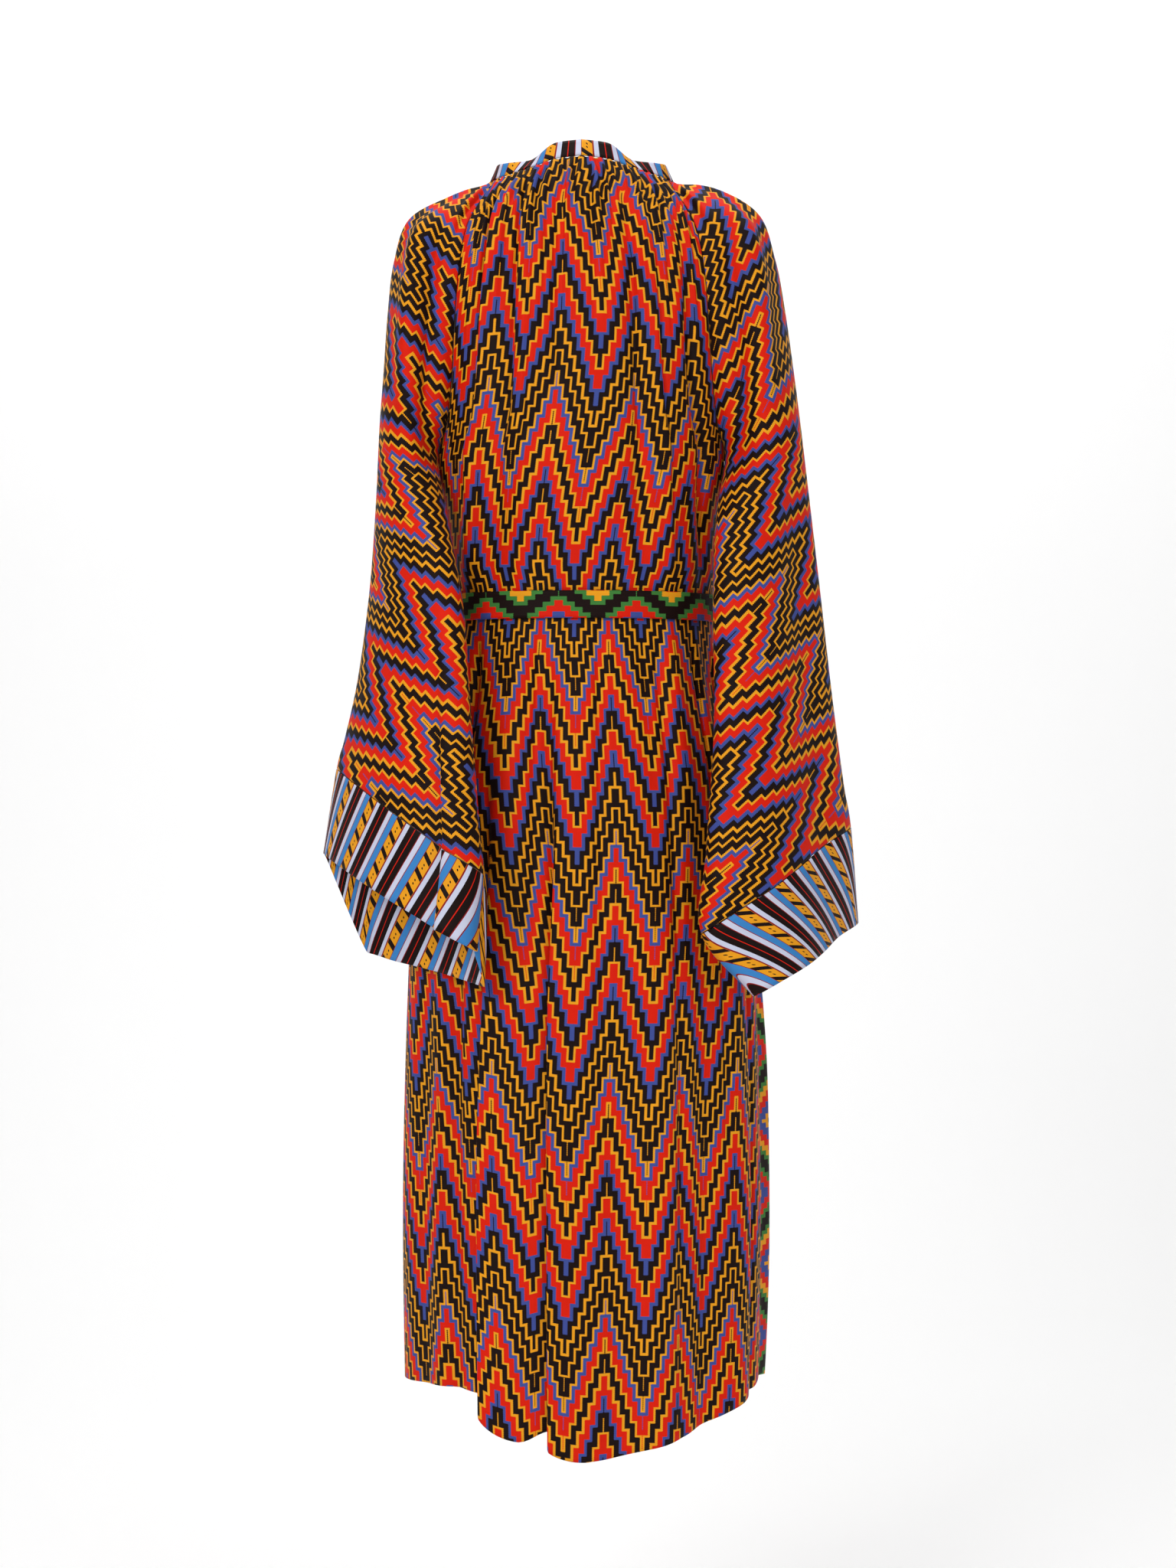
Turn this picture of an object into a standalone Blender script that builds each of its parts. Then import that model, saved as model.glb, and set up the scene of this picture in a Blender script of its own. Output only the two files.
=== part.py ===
"""A long raglan kaftan with a gathered neck, wide sleeves, striped cuffs and a tied belt.

It hangs as it is worn, hollow, with nobody in it. Units are metres and +Z is up. The back
faces -Y and the front faces +Y. The origin is midway between the shoulders, where the
wearer carries the cloth. Every panel is a sheet worked out from the tables below, and a
Solidify modifier gives it its thickness.
"""
import math

import bpy
import numpy as np

# Thickness of each cloth
PANEL_CLOTH = 0.0014
CUFF_CLOTH = 0.0018
BAND_CLOTH = 0.0022
BELT_CLOTH = 0.0024

# Clear space between the walls of two pieces that are sewn together
SEAM_GAP = 0.0005
NECK_GAP = 0.0006
CUFF_GAP = 0.0009

# Neck opening, taken along the seam under the neckband
NECK_HALF_WIDTH = 0.0975
NECK_BACK_DEPTH = 0.066
NECK_FRONT_DEPTH = 0.094
NECK_MIDDLE_Y = 0.012
BACK_CORNER_DEG = 68.0
FRONT_CORNER_DEG = 112.0

# Height of the neck seam, by the angle round the neck from the centre back
NECK_SEAM = {
    "angle_deg": (0, 18, 27, 40, 57, 72, 90, 112, 135, 155, 180),
    "z": (0.029, 0.0255, 0.021, 0.0165, 0.013, 0.0115, 0.009, -0.008, -0.040, -0.066, -0.082),
}

# How far the top of the neckband leans, outwards if positive, and how high it stands
NECK_BAND = {
    "angle_deg": (0, 20, 38, 57, 72, 90, 130, 180),
    "lean": (-0.008, -0.008, -0.013, -0.005, -0.006, -0.009, -0.006, -0.006),
    "rise": (0.0180, 0.0180, 0.0120, 0.0145, 0.0170, 0.0165, 0.0185, 0.0185),
}

# Where the sleeve seams and the side seams meet
UNDERARM_X = 0.150
UNDERARM_Y = -0.020
UNDERARM_Z = -0.280
UNDERARM_STEP = 6

# Rings down a sleeve, the last two being the cuff seam and the cuff's lower edge. A ring
# with an opening belongs to the cap, and its two ends lie on the sleeve seams at x_in, z_in.
RING_COLUMNS = (
    "x_out", "z_out", "x_in", "z_in", "y_out", "y_in", "half_depth", "open_deg", "front_drop",
)
RIGHT_RINGS = (
    (0.099, 0.009, 0.091, 0.015, 0.000, 0.000, 0.036, 85, 0.000),
    (0.144, 0.001, 0.116, -0.036, 0.000, 0.000, 0.066, 80, 0.000),
    (0.186, -0.024, 0.126, -0.090, 0.000, 0.000, 0.080, 70, 0.000),
    (0.203, -0.069, 0.131, -0.145, -0.004, 0.000, 0.082, 58, 0.000),
    (0.212, -0.118, 0.135, -0.200, -0.010, -0.004, 0.078, 45, 0.000),
    (0.221, -0.183, 0.141, -0.245, -0.015, -0.010, 0.070, 28, 0.000),
    (0.229, -0.250, UNDERARM_X, UNDERARM_Z, -0.022, UNDERARM_Y, 0.062, 0, 0.000),
    (0.237, -0.322, 0.138, -0.350, -0.030, -0.080, 0.052, 0, 0.000),
    (0.248, -0.420, 0.134, -0.440, -0.036, -0.108, 0.046, 0, 0.000),
    (0.260, -0.528, 0.134, -0.560, -0.040, -0.130, 0.046, 0, 0.000),
    (0.272, -0.619, 0.125, -0.687, -0.040, -0.152, 0.050, 0, 0.000),
    (0.280, -0.664, 0.120, -0.768, -0.034, -0.160, 0.054, 0, 0.000),
    (0.290, -0.764, 0.172, -0.831, -0.006, -0.150, 0.060, 0, 0.000),
)
LEFT_RINGS = (
    (0.099, 0.009, 0.091, 0.015, 0.000, 0.000, 0.036, 85, 0.000),
    (0.140, -0.007, 0.117, -0.036, 0.000, 0.000, 0.066, 80, 0.000),
    (0.181, -0.029, 0.126, -0.090, 0.000, 0.000, 0.080, 70, 0.000),
    (0.197, -0.072, 0.131, -0.145, -0.004, 0.000, 0.082, 58, 0.000),
    (0.203, -0.126, 0.134, -0.200, -0.010, -0.004, 0.078, 45, 0.000),
    (0.207, -0.188, 0.140, -0.245, -0.015, -0.010, 0.070, 28, 0.000),
    (0.211, -0.250, UNDERARM_X, UNDERARM_Z, -0.022, UNDERARM_Y, 0.060, 0, 0.000),
    (0.214, -0.330, 0.137, -0.350, -0.034, -0.082, 0.050, 0, 0.005),
    (0.220, -0.420, 0.121, -0.440, -0.044, -0.120, 0.046, 0, 0.018),
    (0.231, -0.510, 0.113, -0.555, -0.056, -0.152, 0.048, 0, 0.040),
    (0.244, -0.572, 0.106, -0.650, -0.062, -0.178, 0.052, 0, 0.066),
    (0.252, -0.603, 0.101, -0.708, -0.064, -0.188, 0.056, 0, 0.085),
    (0.266, -0.690, 0.106, -0.784, -0.060, -0.196, 0.060, 0, 0.108),
)
FRONT_SWING = 0.38
FRONT_FLATNESS = 0.58

# The body below the underarm, by the height of its side seams
BODY = {
    "z": (UNDERARM_Z, -0.340, -0.400, -0.436, -0.485, -0.600, -0.780, -1.050, -1.340),
    "half_width": (UNDERARM_X, 0.143, 0.140, 0.138, 0.143, 0.165, 0.180, 0.187, 0.183),
    "side_y": (UNDERARM_Y, -0.014, -0.008, -0.006, -0.006, -0.008, -0.010, -0.014, -0.018),
    "back_y": (-0.124, -0.115, -0.103, -0.098, -0.106, -0.132, -0.148, -0.156, -0.160),
    "front_y": (0.128, 0.120, 0.109, 0.104, 0.111, 0.129, 0.140, 0.146, 0.148),
}

# Centre line of the body above the underarm. Row 0 is the neck and row 1 the underarm.
BACK_CENTRE = {
    "row": (0.0, 0.12, 0.30, 0.55, 0.80, 1.0),
    "y": (-NECK_BACK_DEPTH, -0.082, -0.102, -0.117, -0.123, -0.124),
    "z": (0.029, 0.000, -0.055, -0.140, -0.220, UNDERARM_Z),
}
FRONT_CENTRE = {
    "row": (0.0, 0.12, 0.30, 0.55, 0.80, 1.0),
    "y": (NECK_FRONT_DEPTH, 0.100, 0.112, 0.124, 0.129, 0.128),
    "z": (-0.082, -0.098, -0.132, -0.184, -0.236, UNDERARM_Z),
}

# How far each half of a panel turns round the body
PANEL_TURN = {"row": (0.0, 0.5, 1.0, 1.12, 2.0), "deg": (62, 68, 72, 86, 86)}

# The hem dips below the side seams, unevenly at the back where the folds lift it
HEM_SIDE_Z = -1.239
BACK_HEM = {
    "share": (-1, -0.75, -0.43, -0.34, -0.24, -0.15, -0.06, 0.05, 0.28, 0.50, 0.75, 1),
    "drop": (0, -0.004, -0.004, 0.028, 0.040, 0.034, 0.053, 0.057, 0.045, 0.030, 0.011, 0),
}
FRONT_HEM = {
    "share": (-1, -0.80, -0.40, 0.0, 0.40, 0.80, 1),
    "drop": (0, 0.008, 0.034, 0.044, 0.034, 0.008, 0),
}
HEM_DIP_ROW = 1.25

# Small gathers that hang from the neckband and fade out further down
BACK_GATHERS = 24
FRONT_GATHERS = 18
SLEEVE_GATHERS = 5.5
GATHER_AT_BAND = 0.0010
GATHER_DEPTH = 0.0022
NECK_WALLS = PANEL_CLOTH / 2 + GATHER_AT_BAND + BAND_CLOTH / 2
GATHER_FULL_ROW = 0.12
GATHER_END_ROW = 0.70

# Soft folds. "at" is the share across a panel or the turn round a sleeve. Each grows from
# "top" to "full" and fades from "fade" to "end", in rows of a panel or steps of a sleeve:
# at, width, depth, top, full, fade, end
BACK_FOLDS = (
    (-0.66, 0.060, 0.0060, 0.10, 0.50, 1.00, 1.50),
    (-0.47, 0.050, -0.0050, 0.05, 0.40, 1.00, 1.50),
    (-0.31, 0.050, 0.0050, 0.05, 0.40, 1.00, 1.50),
    (0.31, 0.050, -0.0050, 0.05, 0.40, 1.10, 1.60),
    (0.47, 0.045, 0.0050, 0.10, 0.50, 1.10, 1.60),
    (0.74, 0.055, -0.0060, 0.20, 0.60, 1.00, 1.50),
    (0.13, 0.090, -0.0060, 1.20, 1.80, 3.00, 4.00),
    (0.30, 0.080, 0.0070, 1.20, 1.80, 3.00, 4.00),
    (0.50, 0.070, -0.0080, 1.20, 1.80, 3.00, 4.00),
    (0.70, 0.080, 0.0060, 1.20, 1.80, 3.00, 4.00),
    (-0.72, 0.080, -0.0070, 1.20, 1.80, 3.00, 4.00),
)
FRONT_FOLDS = (
    (-0.62, 0.060, 0.0060, 0.20, 0.70, 1.00, 1.50),
    (-0.38, 0.055, -0.0050, 0.10, 0.50, 1.00, 1.50),
    (0.36, 0.055, -0.0050, 0.10, 0.50, 1.00, 1.50),
    (0.60, 0.060, 0.0060, 0.20, 0.70, 1.00, 1.50),
    (-0.72, 0.085, 0.0100, 1.20, 1.80, 3.00, 4.00),
    (-0.48, 0.075, -0.0120, 1.20, 1.80, 3.00, 4.00),
    (0.50, 0.075, -0.0120, 1.20, 1.80, 3.00, 4.00),
    (0.88, 0.085, 0.0120, 1.30, 1.70, 1.85, 2.40),
)
RIGHT_SLEEVE_FOLDS = (
    (0.13, 0.050, -0.0110, 0.8, 2.4, 4.5, 6.5),
    (0.25, 0.055, 0.0080, 0.8, 2.4, 4.5, 6.5),
    (0.86, 0.050, -0.0090, 0.8, 2.4, 4.5, 6.5),
    (0.36, 0.055, -0.0060, 5.5, 8.0, 13.0, 14.0),
    (0.22, 0.055, 0.0050, 6.5, 9.0, 13.0, 14.0),
    (0.68, 0.060, -0.0070, 6.5, 9.0, 13.0, 14.0),
)
LEFT_SLEEVE_FOLDS = (
    (0.13, 0.050, -0.0110, 0.8, 2.4, 4.5, 6.5),
    (0.25, 0.055, 0.0080, 0.8, 2.4, 4.5, 6.5),
    (0.86, 0.050, -0.0090, 0.8, 2.4, 4.5, 6.5),
    (0.68, 0.060, -0.0070, 6.5, 9.0, 13.0, 14.0),
)

# Folds that double back under themselves. "reach" is half the cloth that goes into one,
# "tuck" is how strongly it doubles back and "depth" how far its layers part. The later side
# lies on top where "side" is 1, and the earlier side where it is -1:
# at, reach, tuck, depth, side, top, full
BACK_PLEATS = (
    (-0.375, 0.026, 1.70, 0.0084, 1, 1.22, 1.75),
    (-0.105, 0.026, 1.75, 0.0084, 1, 1.20, 1.62),
)
LEFT_SLEEVE_PLEATS = ((0.16, 0.024, 1.60, 0.0084, -1, 7.0, 10.5),)

# The belt, its knot and its two free ends, each end with its top x, foot x and length
BELT_TOP = -0.421
BELT_HEIGHT = 0.029
BELT_STANDOFF = 0.0042
WAIST_REACH = 0.045
WAIST_PINCH = 0.85
KNOT_HALF_SIZE = (0.020, 0.010, 0.017)
KNOT_GAP = 0.0007
KNOT_MIDDLE = BELT_TOP - BELT_HEIGHT / 2
TAIL_TOP_BELOW_KNOT = 0.0024
TAIL_TOP = KNOT_MIDDLE - KNOT_HALF_SIZE[2] - TAIL_TOP_BELOW_KNOT
TAIL_HALF_WIDTH = 0.0145
TAIL_STANDOFF = 0.0030
TAIL_TOP_STANDOFF = 0.0165
LEFT_TAIL = (-0.0105, -0.044, 0.285)
RIGHT_TAIL = (0.0105, 0.040, 0.315)

# Rows and columns of the sheets
BACK_COLUMNS = 2 * BACK_GATHERS
FRONT_COLUMNS = 2 * FRONT_GATHERS
SLEEVE_COLUMNS = 22
BAND_COLUMNS = 72
BELT_COLUMNS = 56
UPPER_ROWS = (0.0, 0.05, 0.12, 0.20, 0.28, 0.35, 0.43, 0.54, 0.68, 0.84, 1.0)
LOWER_ROWS = (1.075, 1.147, 1.162, 1.177, 1.22, 1.30, 1.42, 1.56, 1.70, 1.85, 2.0)

# The row behind the belt at which each panel's solid is parted, and the gap there
WAIST_ROW = 1.162
WAIST_GAP = 0.0008
SLEEVE_STEPS = (6.4, 7.0, 7.7, 8.4, 9.2, 10.0, 10.6, 11.0)
CUFF_STEPS = (11.0, 11.5, 12.0)
TAIL_ROWS = 10

FLAME_PRINT = (0.62, 0.10, 0.02, 1.0)
STRIPE_TRIM = (0.08, 0.06, 0.10, 1.0)
DIAMOND_PRINT = (0.10, 0.28, 0.08, 1.0)


def on_curve(rows, steps):
    """Rows of a table at fractional steps, on a smooth curve through all of them."""
    rows = np.asarray(rows, float)
    steps = np.clip(np.asarray(steps, float), 0.0, len(rows) - 1.0)
    first = np.minimum(steps.astype(int), len(rows) - 2)
    part = (steps - first)[..., None]
    slopes = np.gradient(rows, axis=0)
    to_next = part * part * (3 - 2 * part)
    return (
        rows[first] * (1 - to_next)
        + rows[first + 1] * to_next
        + slopes[first] * part * (1 - part) ** 2
        + slopes[first + 1] * part * part * (part - 1)
    )


def read(table, key, name, at):
    """One named column of a table, at given values of its key column."""
    keys = np.asarray(table[key], float)
    order = np.argsort(keys)
    steps = np.interp(at, keys[order], np.arange(len(keys)))
    return on_curve(np.asarray(table[name], float)[order][:, None], steps)[..., 0]


def ease(value, start, full):
    """0 before start, 1 after full, and smooth between them."""
    share = np.clip((np.asarray(value, float) - start) / (full - start), 0.0, 1.0)
    return share * share * (3 - 2 * share)


def unit(vectors):
    """The same directions with length 1."""
    return vectors / np.maximum(np.linalg.norm(vectors, axis=-1, keepdims=True), 1e-9)


def from_back(angle_deg):
    """An angle round the neck as its distance from the centre back, 0 to 180."""
    return np.abs((np.asarray(angle_deg, float) + 180.0) % 360.0 - 180.0)


def neck_point(angle_deg):
    """A point of the neck seam, the angle being counted from the centre back towards +X."""
    angle = np.radians(np.asarray(angle_deg, float))
    depth = np.where(np.cos(angle) > 0, -NECK_BACK_DEPTH, NECK_FRONT_DEPTH)
    height = read(NECK_SEAM, "angle_deg", "z", from_back(angle_deg))
    return np.stack(
        [NECK_HALF_WIDTH * np.sin(angle), depth * np.abs(np.cos(angle)), height], axis=-1
    )


def band_rise(angle_deg):
    """The step from the neck seam to the top of the neckband."""
    outward = neck_point(angle_deg) - (0.0, NECK_MIDDLE_Y, 0.0)
    outward[..., 2] = 0.0
    around = from_back(angle_deg)
    lean = read(NECK_BAND, "angle_deg", "lean", around)
    rise = read(NECK_BAND, "angle_deg", "rise", around)
    return unit(outward) * lean[..., None] + rise[..., None] * np.array([0.0, 0.0, 1.0])


def ring_point(side, rings, step, turn):
    """A point of a sleeve's ring. Turn runs from the back of the inner seam to its front."""
    values = on_curve(rings, step)
    ring = {name: values[..., i] for i, name in enumerate(RING_COLUMNS)}
    start = np.radians(np.where(step < UNDERARM_STEP, np.maximum(ring["open_deg"], 0.0), 0.0))
    angle = start + turn * (2 * math.pi - 2 * start)

    def between(outer, inner):
        half = (ring[outer] - ring[inner]) / (1 + np.cos(start))
        return ring[outer] - half * (1 + np.cos(angle))

    flat = 1 - (1 - FRONT_FLATNESS) * ease(step, UNDERARM_STEP, 9.0)
    depth = ring["half_depth"] * np.where(np.sin(angle) > 0, 1.0, flat)
    drop = ring["front_drop"] * ease(-np.sin(angle), 0.0, 0.4) * (0.65 - 0.30 * np.cos(angle))
    x = side * (between("x_out", "x_in") - FRONT_SWING * drop)
    y = between("y_out", "y_in") - depth * np.sin(angle)
    return np.stack([x, y, between("z_out", "z_in") - drop], axis=-1)


def sleeve_point(side, turn, step):
    """A point of a sleeve or its cuff with no folds, its top drawn onto the neck seam."""
    rings = RIGHT_RINGS if side > 0 else LEFT_RINGS
    turn, step = np.broadcast_arrays(np.asarray(turn, float), np.asarray(step, float))
    angle = side * (BACK_CORNER_DEG + turn * (FRONT_CORNER_DEG - BACK_CORNER_DEG))
    to_neck = neck_point(angle) - ring_point(side, rings, np.zeros_like(step), turn)
    point = ring_point(side, rings, step, turn)
    return point + to_neck * (1 - ease(step, 0.0, 2.2))[..., None]


def seam_to_seam(face, share, row):
    """A point of a panel above the underarm, where it spans the two sleeve seams."""
    half_turn = np.radians(read(PANEL_TURN, "row", "deg", row))
    sideways = (np.sin(share * half_turn) / np.sin(half_turn))[..., None]
    bulge = (np.cos(share * half_turn) - np.cos(half_turn)) / (1 - np.cos(half_turn))
    turn = 0.0 if face < 0 else 1.0
    left = sleeve_point(-1, turn, row * UNDERARM_STEP)
    right = sleeve_point(1, turn, row * UNDERARM_STEP)
    centre = BACK_CENTRE if face < 0 else FRONT_CENTRE
    point = (left + right) / 2 + (right - left) / 2 * sideways
    point[..., 1] += (read(centre, "row", "y", row) - point[..., 1]) * bulge
    point[..., 2] += (read(centre, "row", "z", row) - point[..., 2]) * bulge
    return point


def side_to_side(face, share, row):
    """A point of a panel below the underarm, where it spans the two side seams."""
    level = UNDERARM_Z + (row - 1.0) * (HEM_SIDE_Z - UNDERARM_Z)
    half_turn = np.radians(read(PANEL_TURN, "row", "deg", row))
    sideways = np.sin(share * half_turn) / np.sin(half_turn)
    bulge = (np.cos(share * half_turn) - np.cos(half_turn)) / (1 - np.cos(half_turn))
    side_y = read(BODY, "z", "side_y", level)
    centre_y = read(BODY, "z", "back_y" if face < 0 else "front_y", level)
    dip = read(BACK_HEM if face < 0 else FRONT_HEM, "share", "drop", share)
    dip_growth = np.clip((row - HEM_DIP_ROW) / (2.0 - HEM_DIP_ROW), 0.0, None)
    return np.stack([
        read(BODY, "z", "half_width", level) * sideways,
        side_y + (centre_y - side_y) * bulge,
        level - dip * dip_growth,
    ], axis=-1)


def neck_angle(face, share):
    """The angle round the neck that a share across a panel's top edge meets."""
    return share * BACK_CORNER_DEG if face < 0 else 180.0 - share * (180.0 - FRONT_CORNER_DEG)


def panel_point(face, share, row):
    """A point of the back (-1) or front (1) panel with no folds.

    Share runs from -1 at the left seam to 1 at the right one. Row is 0 at the neck, 1 at
    the underarm and 2 at the hem.
    """
    share, row = np.broadcast_arrays(np.asarray(share, float), np.asarray(row, float))
    upper = np.clip(row, 0.0, 1.0)
    neck = neck_point(neck_angle(face, share))
    to_neck = neck - seam_to_seam(face, share, np.zeros_like(row))
    above = seam_to_seam(face, share, upper) + to_neck * (1 - ease(row, 0.0, 0.3))[..., None]
    below = side_to_side(face, share, np.maximum(row, 1.0))
    return np.where((row <= 1.0)[..., None], above, below)


def frame_at(surface, across, down, facing):
    """A surface's points with their outward direction and their step across."""
    nudge = 1e-4
    step_across = (surface(across + nudge, down) - surface(across - nudge, down)) / (2 * nudge)
    step_down = surface(across, down + nudge) - surface(across, down - nudge)
    outward = unit(np.cross(step_down, step_across)) * facing
    return surface(across, down), outward, step_across


def fold_height(distance_at, down, folds):
    """Height of the soft folds, given a function for the distance from a fold's line."""
    height = 0.0
    for at, width, depth, top, full, fade, end in folds:
        swell = np.exp(-((distance_at(at) / width) ** 2))
        height = height + depth * swell * ease(down, top, full) * (1 - ease(down, fade, end))
    return height


def pleat_shift(distance_at, metres_across, down, pleats):
    """Height and sideways step of the doubled folds."""
    height, sideways = np.zeros_like(metres_across), np.zeros_like(metres_across)
    for at, reach, tuck, depth, side, top, full in pleats:
        grown = ease(down, top, full)
        along = distance_at(at) * metres_across
        near = np.exp(-((along / reach) ** 2))
        layer = np.tanh(2 * along / reach) * np.exp(-((along / (2 * reach)) ** 2))
        height += side * depth * grown * layer
        sideways -= tuck * grown * along * near
    return height, sideways


def gather_height(waves, row):
    """Height of the gathers, given how many waves have passed."""
    depth = GATHER_AT_BAND + (GATHER_DEPTH - GATHER_AT_BAND) * ease(row, 0.0, GATHER_FULL_ROW)
    return depth * np.cos(2 * math.pi * waves) * (1 - ease(row, GATHER_FULL_ROW, GATHER_END_ROW))


def panel_surface(face, share, row, standoff=0.0):
    """A point of a panel with its gathers and folds, moved outwards by the standoff."""
    share, row = np.broadcast_arrays(np.asarray(share, float), np.asarray(row, float))
    base, outward, across = frame_at(
        lambda a, d: panel_point(face, a, d), share, row, -face
    )
    metres = np.linalg.norm(across, axis=-1)
    gathers = BACK_GATHERS if face < 0 else FRONT_GATHERS
    folds = BACK_FOLDS if face < 0 else FRONT_FOLDS
    height = gather_height(gathers * (share + 1) / 2, row)
    height = height + fold_height(lambda at: share - at, row, folds)
    pleats = BACK_PLEATS if face < 0 else ()
    lift, sideways = pleat_shift(lambda at: share - at, metres, row, pleats)
    at_waist = np.exp(-(((base[..., 2] - BELT_TOP + BELT_HEIGHT / 2) / WAIST_REACH) ** 2))
    near_seam = ease(1 - np.abs(share), 0.0, 0.10)
    height = (height * (1 - WAIST_PINCH * at_waist) + lift) * near_seam
    return base + outward * (height + standoff)[..., None] + unit(across) * sideways[..., None]


def sleeve_surface(side, turn, step):
    """A point of a sleeve or its cuff with its gathers and folds."""
    turn, step = np.broadcast_arrays(np.asarray(turn, float), np.asarray(step, float))
    base, outward, across = frame_at(
        lambda a, d: sleeve_point(side, a, d), turn, step, side
    )
    metres = np.linalg.norm(across, axis=-1)

    def distance_at(at):
        return (turn - at + 0.5) % 1.0 - 0.5

    folds = RIGHT_SLEEVE_FOLDS if side > 0 else LEFT_SLEEVE_FOLDS
    height = gather_height(SLEEVE_GATHERS * turn, step / UNDERARM_STEP)
    height = height + fold_height(distance_at, step, folds)
    pleats = () if side > 0 else LEFT_SLEEVE_PLEATS
    lift, sideways = pleat_shift(distance_at, metres, step, pleats)
    near_seam = ease(np.minimum(turn, 1 - turn), 0.0, 0.08)
    near_seam = near_seam + (1 - near_seam) * ease(step, UNDERARM_STEP, 8.0)
    height = (height + lift) * near_seam
    return base + outward * height[..., None] + unit(across) * sideways[..., None]


def seam_clearance(seam, own, other, wall, gap=SEAM_GAP):
    """How far a sheet stops short of its seam, so that the walls on both sides stay clear.

    Own and other are the directions this sheet and the next leave the seam in. Wall is the
    sum of half the thickness of each.
    """
    along = unit(np.gradient(seam, axis=0))
    own_square = unit(own) - np.sum(unit(own) * along, axis=-1)[..., None] * along
    other_square = unit(other) - np.sum(unit(other) * along, axis=-1)[..., None] * along
    cosine = np.sum(unit(own_square) * unit(other_square), axis=-1)
    half = np.arccos(np.clip(cosine, -1.0, 0.97)) / 2
    square_to_seam = np.linalg.norm(own_square, axis=-1)
    return (gap + wall * np.cos(half)) / (2 * np.sin(half) * square_to_seam)


def pull_in(grid, edge, inner, distance):
    """Move one line of points of a grid towards the line beside it."""
    grid[edge] += unit(grid[inner] - grid[edge]) * np.asarray(distance)[..., None]


def trim_neck_edge(grid, angle_deg):
    """Shorten a sheet's top edge so that it clears the neckband."""
    seam, below, above = neck_point(angle_deg), grid[1] - grid[0], band_rise(angle_deg)
    pull_in(grid, np.s_[0], np.s_[1], seam_clearance(seam, below, above, NECK_WALLS, NECK_GAP))


def panel_grid(face):
    columns = BACK_COLUMNS if face < 0 else FRONT_COLUMNS
    share = np.linspace(-1.0, 1.0, columns + 1)
    rows = np.array(UPPER_ROWS + LOWER_ROWS)
    return panel_surface(face, share[None, :], rows[:, None])


def sleeve_grid(side, steps):
    turn = np.linspace(0.0, 1.0, SLEEVE_COLUMNS + 1)
    return sleeve_surface(side, turn[None, :], np.array(steps)[:, None])


def garment_grids():
    """Points of the panels and sleeves, each stopping short of the seams round it."""
    upper = len(UPPER_ROWS)
    steps = tuple(row * UNDERARM_STEP for row in UPPER_ROWS) + SLEEVE_STEPS
    back, front = panel_grid(-1), panel_grid(1)
    left, right = sleeve_grid(-1, steps), sleeve_grid(1, steps)

    # Each seam as two sheets, their edge and inner columns and the rows they share
    first, last = (0, 1), (-1, -2)
    cap, side = slice(0, upper), slice(upper, None)
    seams = (
        (back, first, left, first, cap), (back, last, right, first, cap),
        (front, first, left, last, cap), (front, last, right, last, cap),
        (back, first, front, first, side), (back, last, front, last, side),
    )
    pulls = []
    for one, one_edge, other, other_edge, rows in seams:
        seam = one[rows, one_edge[0]]
        one_way = one[rows, one_edge[1]] - seam
        other_way = other[rows, other_edge[1]] - seam
        one_clear = seam_clearance(seam, one_way, other_way, PANEL_CLOTH)
        other_clear = seam_clearance(seam, other_way, one_way, PANEL_CLOTH)
        pulls.append((one, one_edge, rows, one_clear))
        pulls.append((other, other_edge, rows, other_clear))
    for grid, edge, rows, clear in pulls:
        pull_in(grid, np.s_[rows, edge[0]], np.s_[rows, edge[1]], clear)

    trim_neck_edge(back, neck_angle(-1, np.linspace(-1.0, 1.0, BACK_COLUMNS + 1)))
    trim_neck_edge(front, neck_angle(1, np.linspace(-1.0, 1.0, FRONT_COLUMNS + 1)))
    across = np.linspace(BACK_CORNER_DEG, FRONT_CORNER_DEG, SLEEVE_COLUMNS + 1)
    trim_neck_edge(left, -across)
    trim_neck_edge(right, across)
    return back, front, left, right


def cuff_grid(side, sleeve):
    """A cuff, with its sleeve's lower edge shortened to clear it."""
    cuff = sleeve_grid(side, CUFF_STEPS)
    seam, wall = cuff[0].copy(), (PANEL_CLOTH + CUFF_CLOTH) / 2
    down, up = cuff[1] - seam, sleeve[-2] - seam
    pull_in(cuff, np.s_[0], np.s_[1], seam_clearance(seam, down, up, wall, CUFF_GAP))
    pull_in(sleeve, np.s_[-1], np.s_[-2], seam_clearance(seam, up, down, wall, CUFF_GAP))
    return cuff


def below_neck(angle_deg):
    """The direction the cloth leaves the neck seam in."""
    around = from_back(angle_deg)
    step = 0.04
    back = panel_point(-1, angle_deg / BACK_CORNER_DEG, step)
    front = panel_point(1, (180.0 - angle_deg % 360.0) / (180.0 - FRONT_CORNER_DEG), step)
    turn = (around - BACK_CORNER_DEG) / (FRONT_CORNER_DEG - BACK_CORNER_DEG)
    right = sleeve_point(1, turn, step * UNDERARM_STEP)
    left = sleeve_point(-1, turn, step * UNDERARM_STEP)
    sleeve = np.where((np.sin(np.radians(angle_deg)) > 0)[..., None], right, left)
    below = np.where((around < BACK_CORNER_DEG)[..., None], back, sleeve)
    below = np.where((around > FRONT_CORNER_DEG)[..., None], front, below)
    return unit(below - neck_point(angle_deg))


def band_grid():
    """The neckband from its top edge down to the neck seam, all the way round."""
    angle = np.linspace(0.0, 360.0, BAND_COLUMNS + 1)
    seam, rise = neck_point(angle), band_rise(angle)
    clear = seam_clearance(seam, rise, below_neck(angle), NECK_WALLS, NECK_GAP)
    foot = seam + unit(rise) * clear[:, None]
    return np.stack([seam + rise, (seam + rise + foot) / 2, foot])


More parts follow.
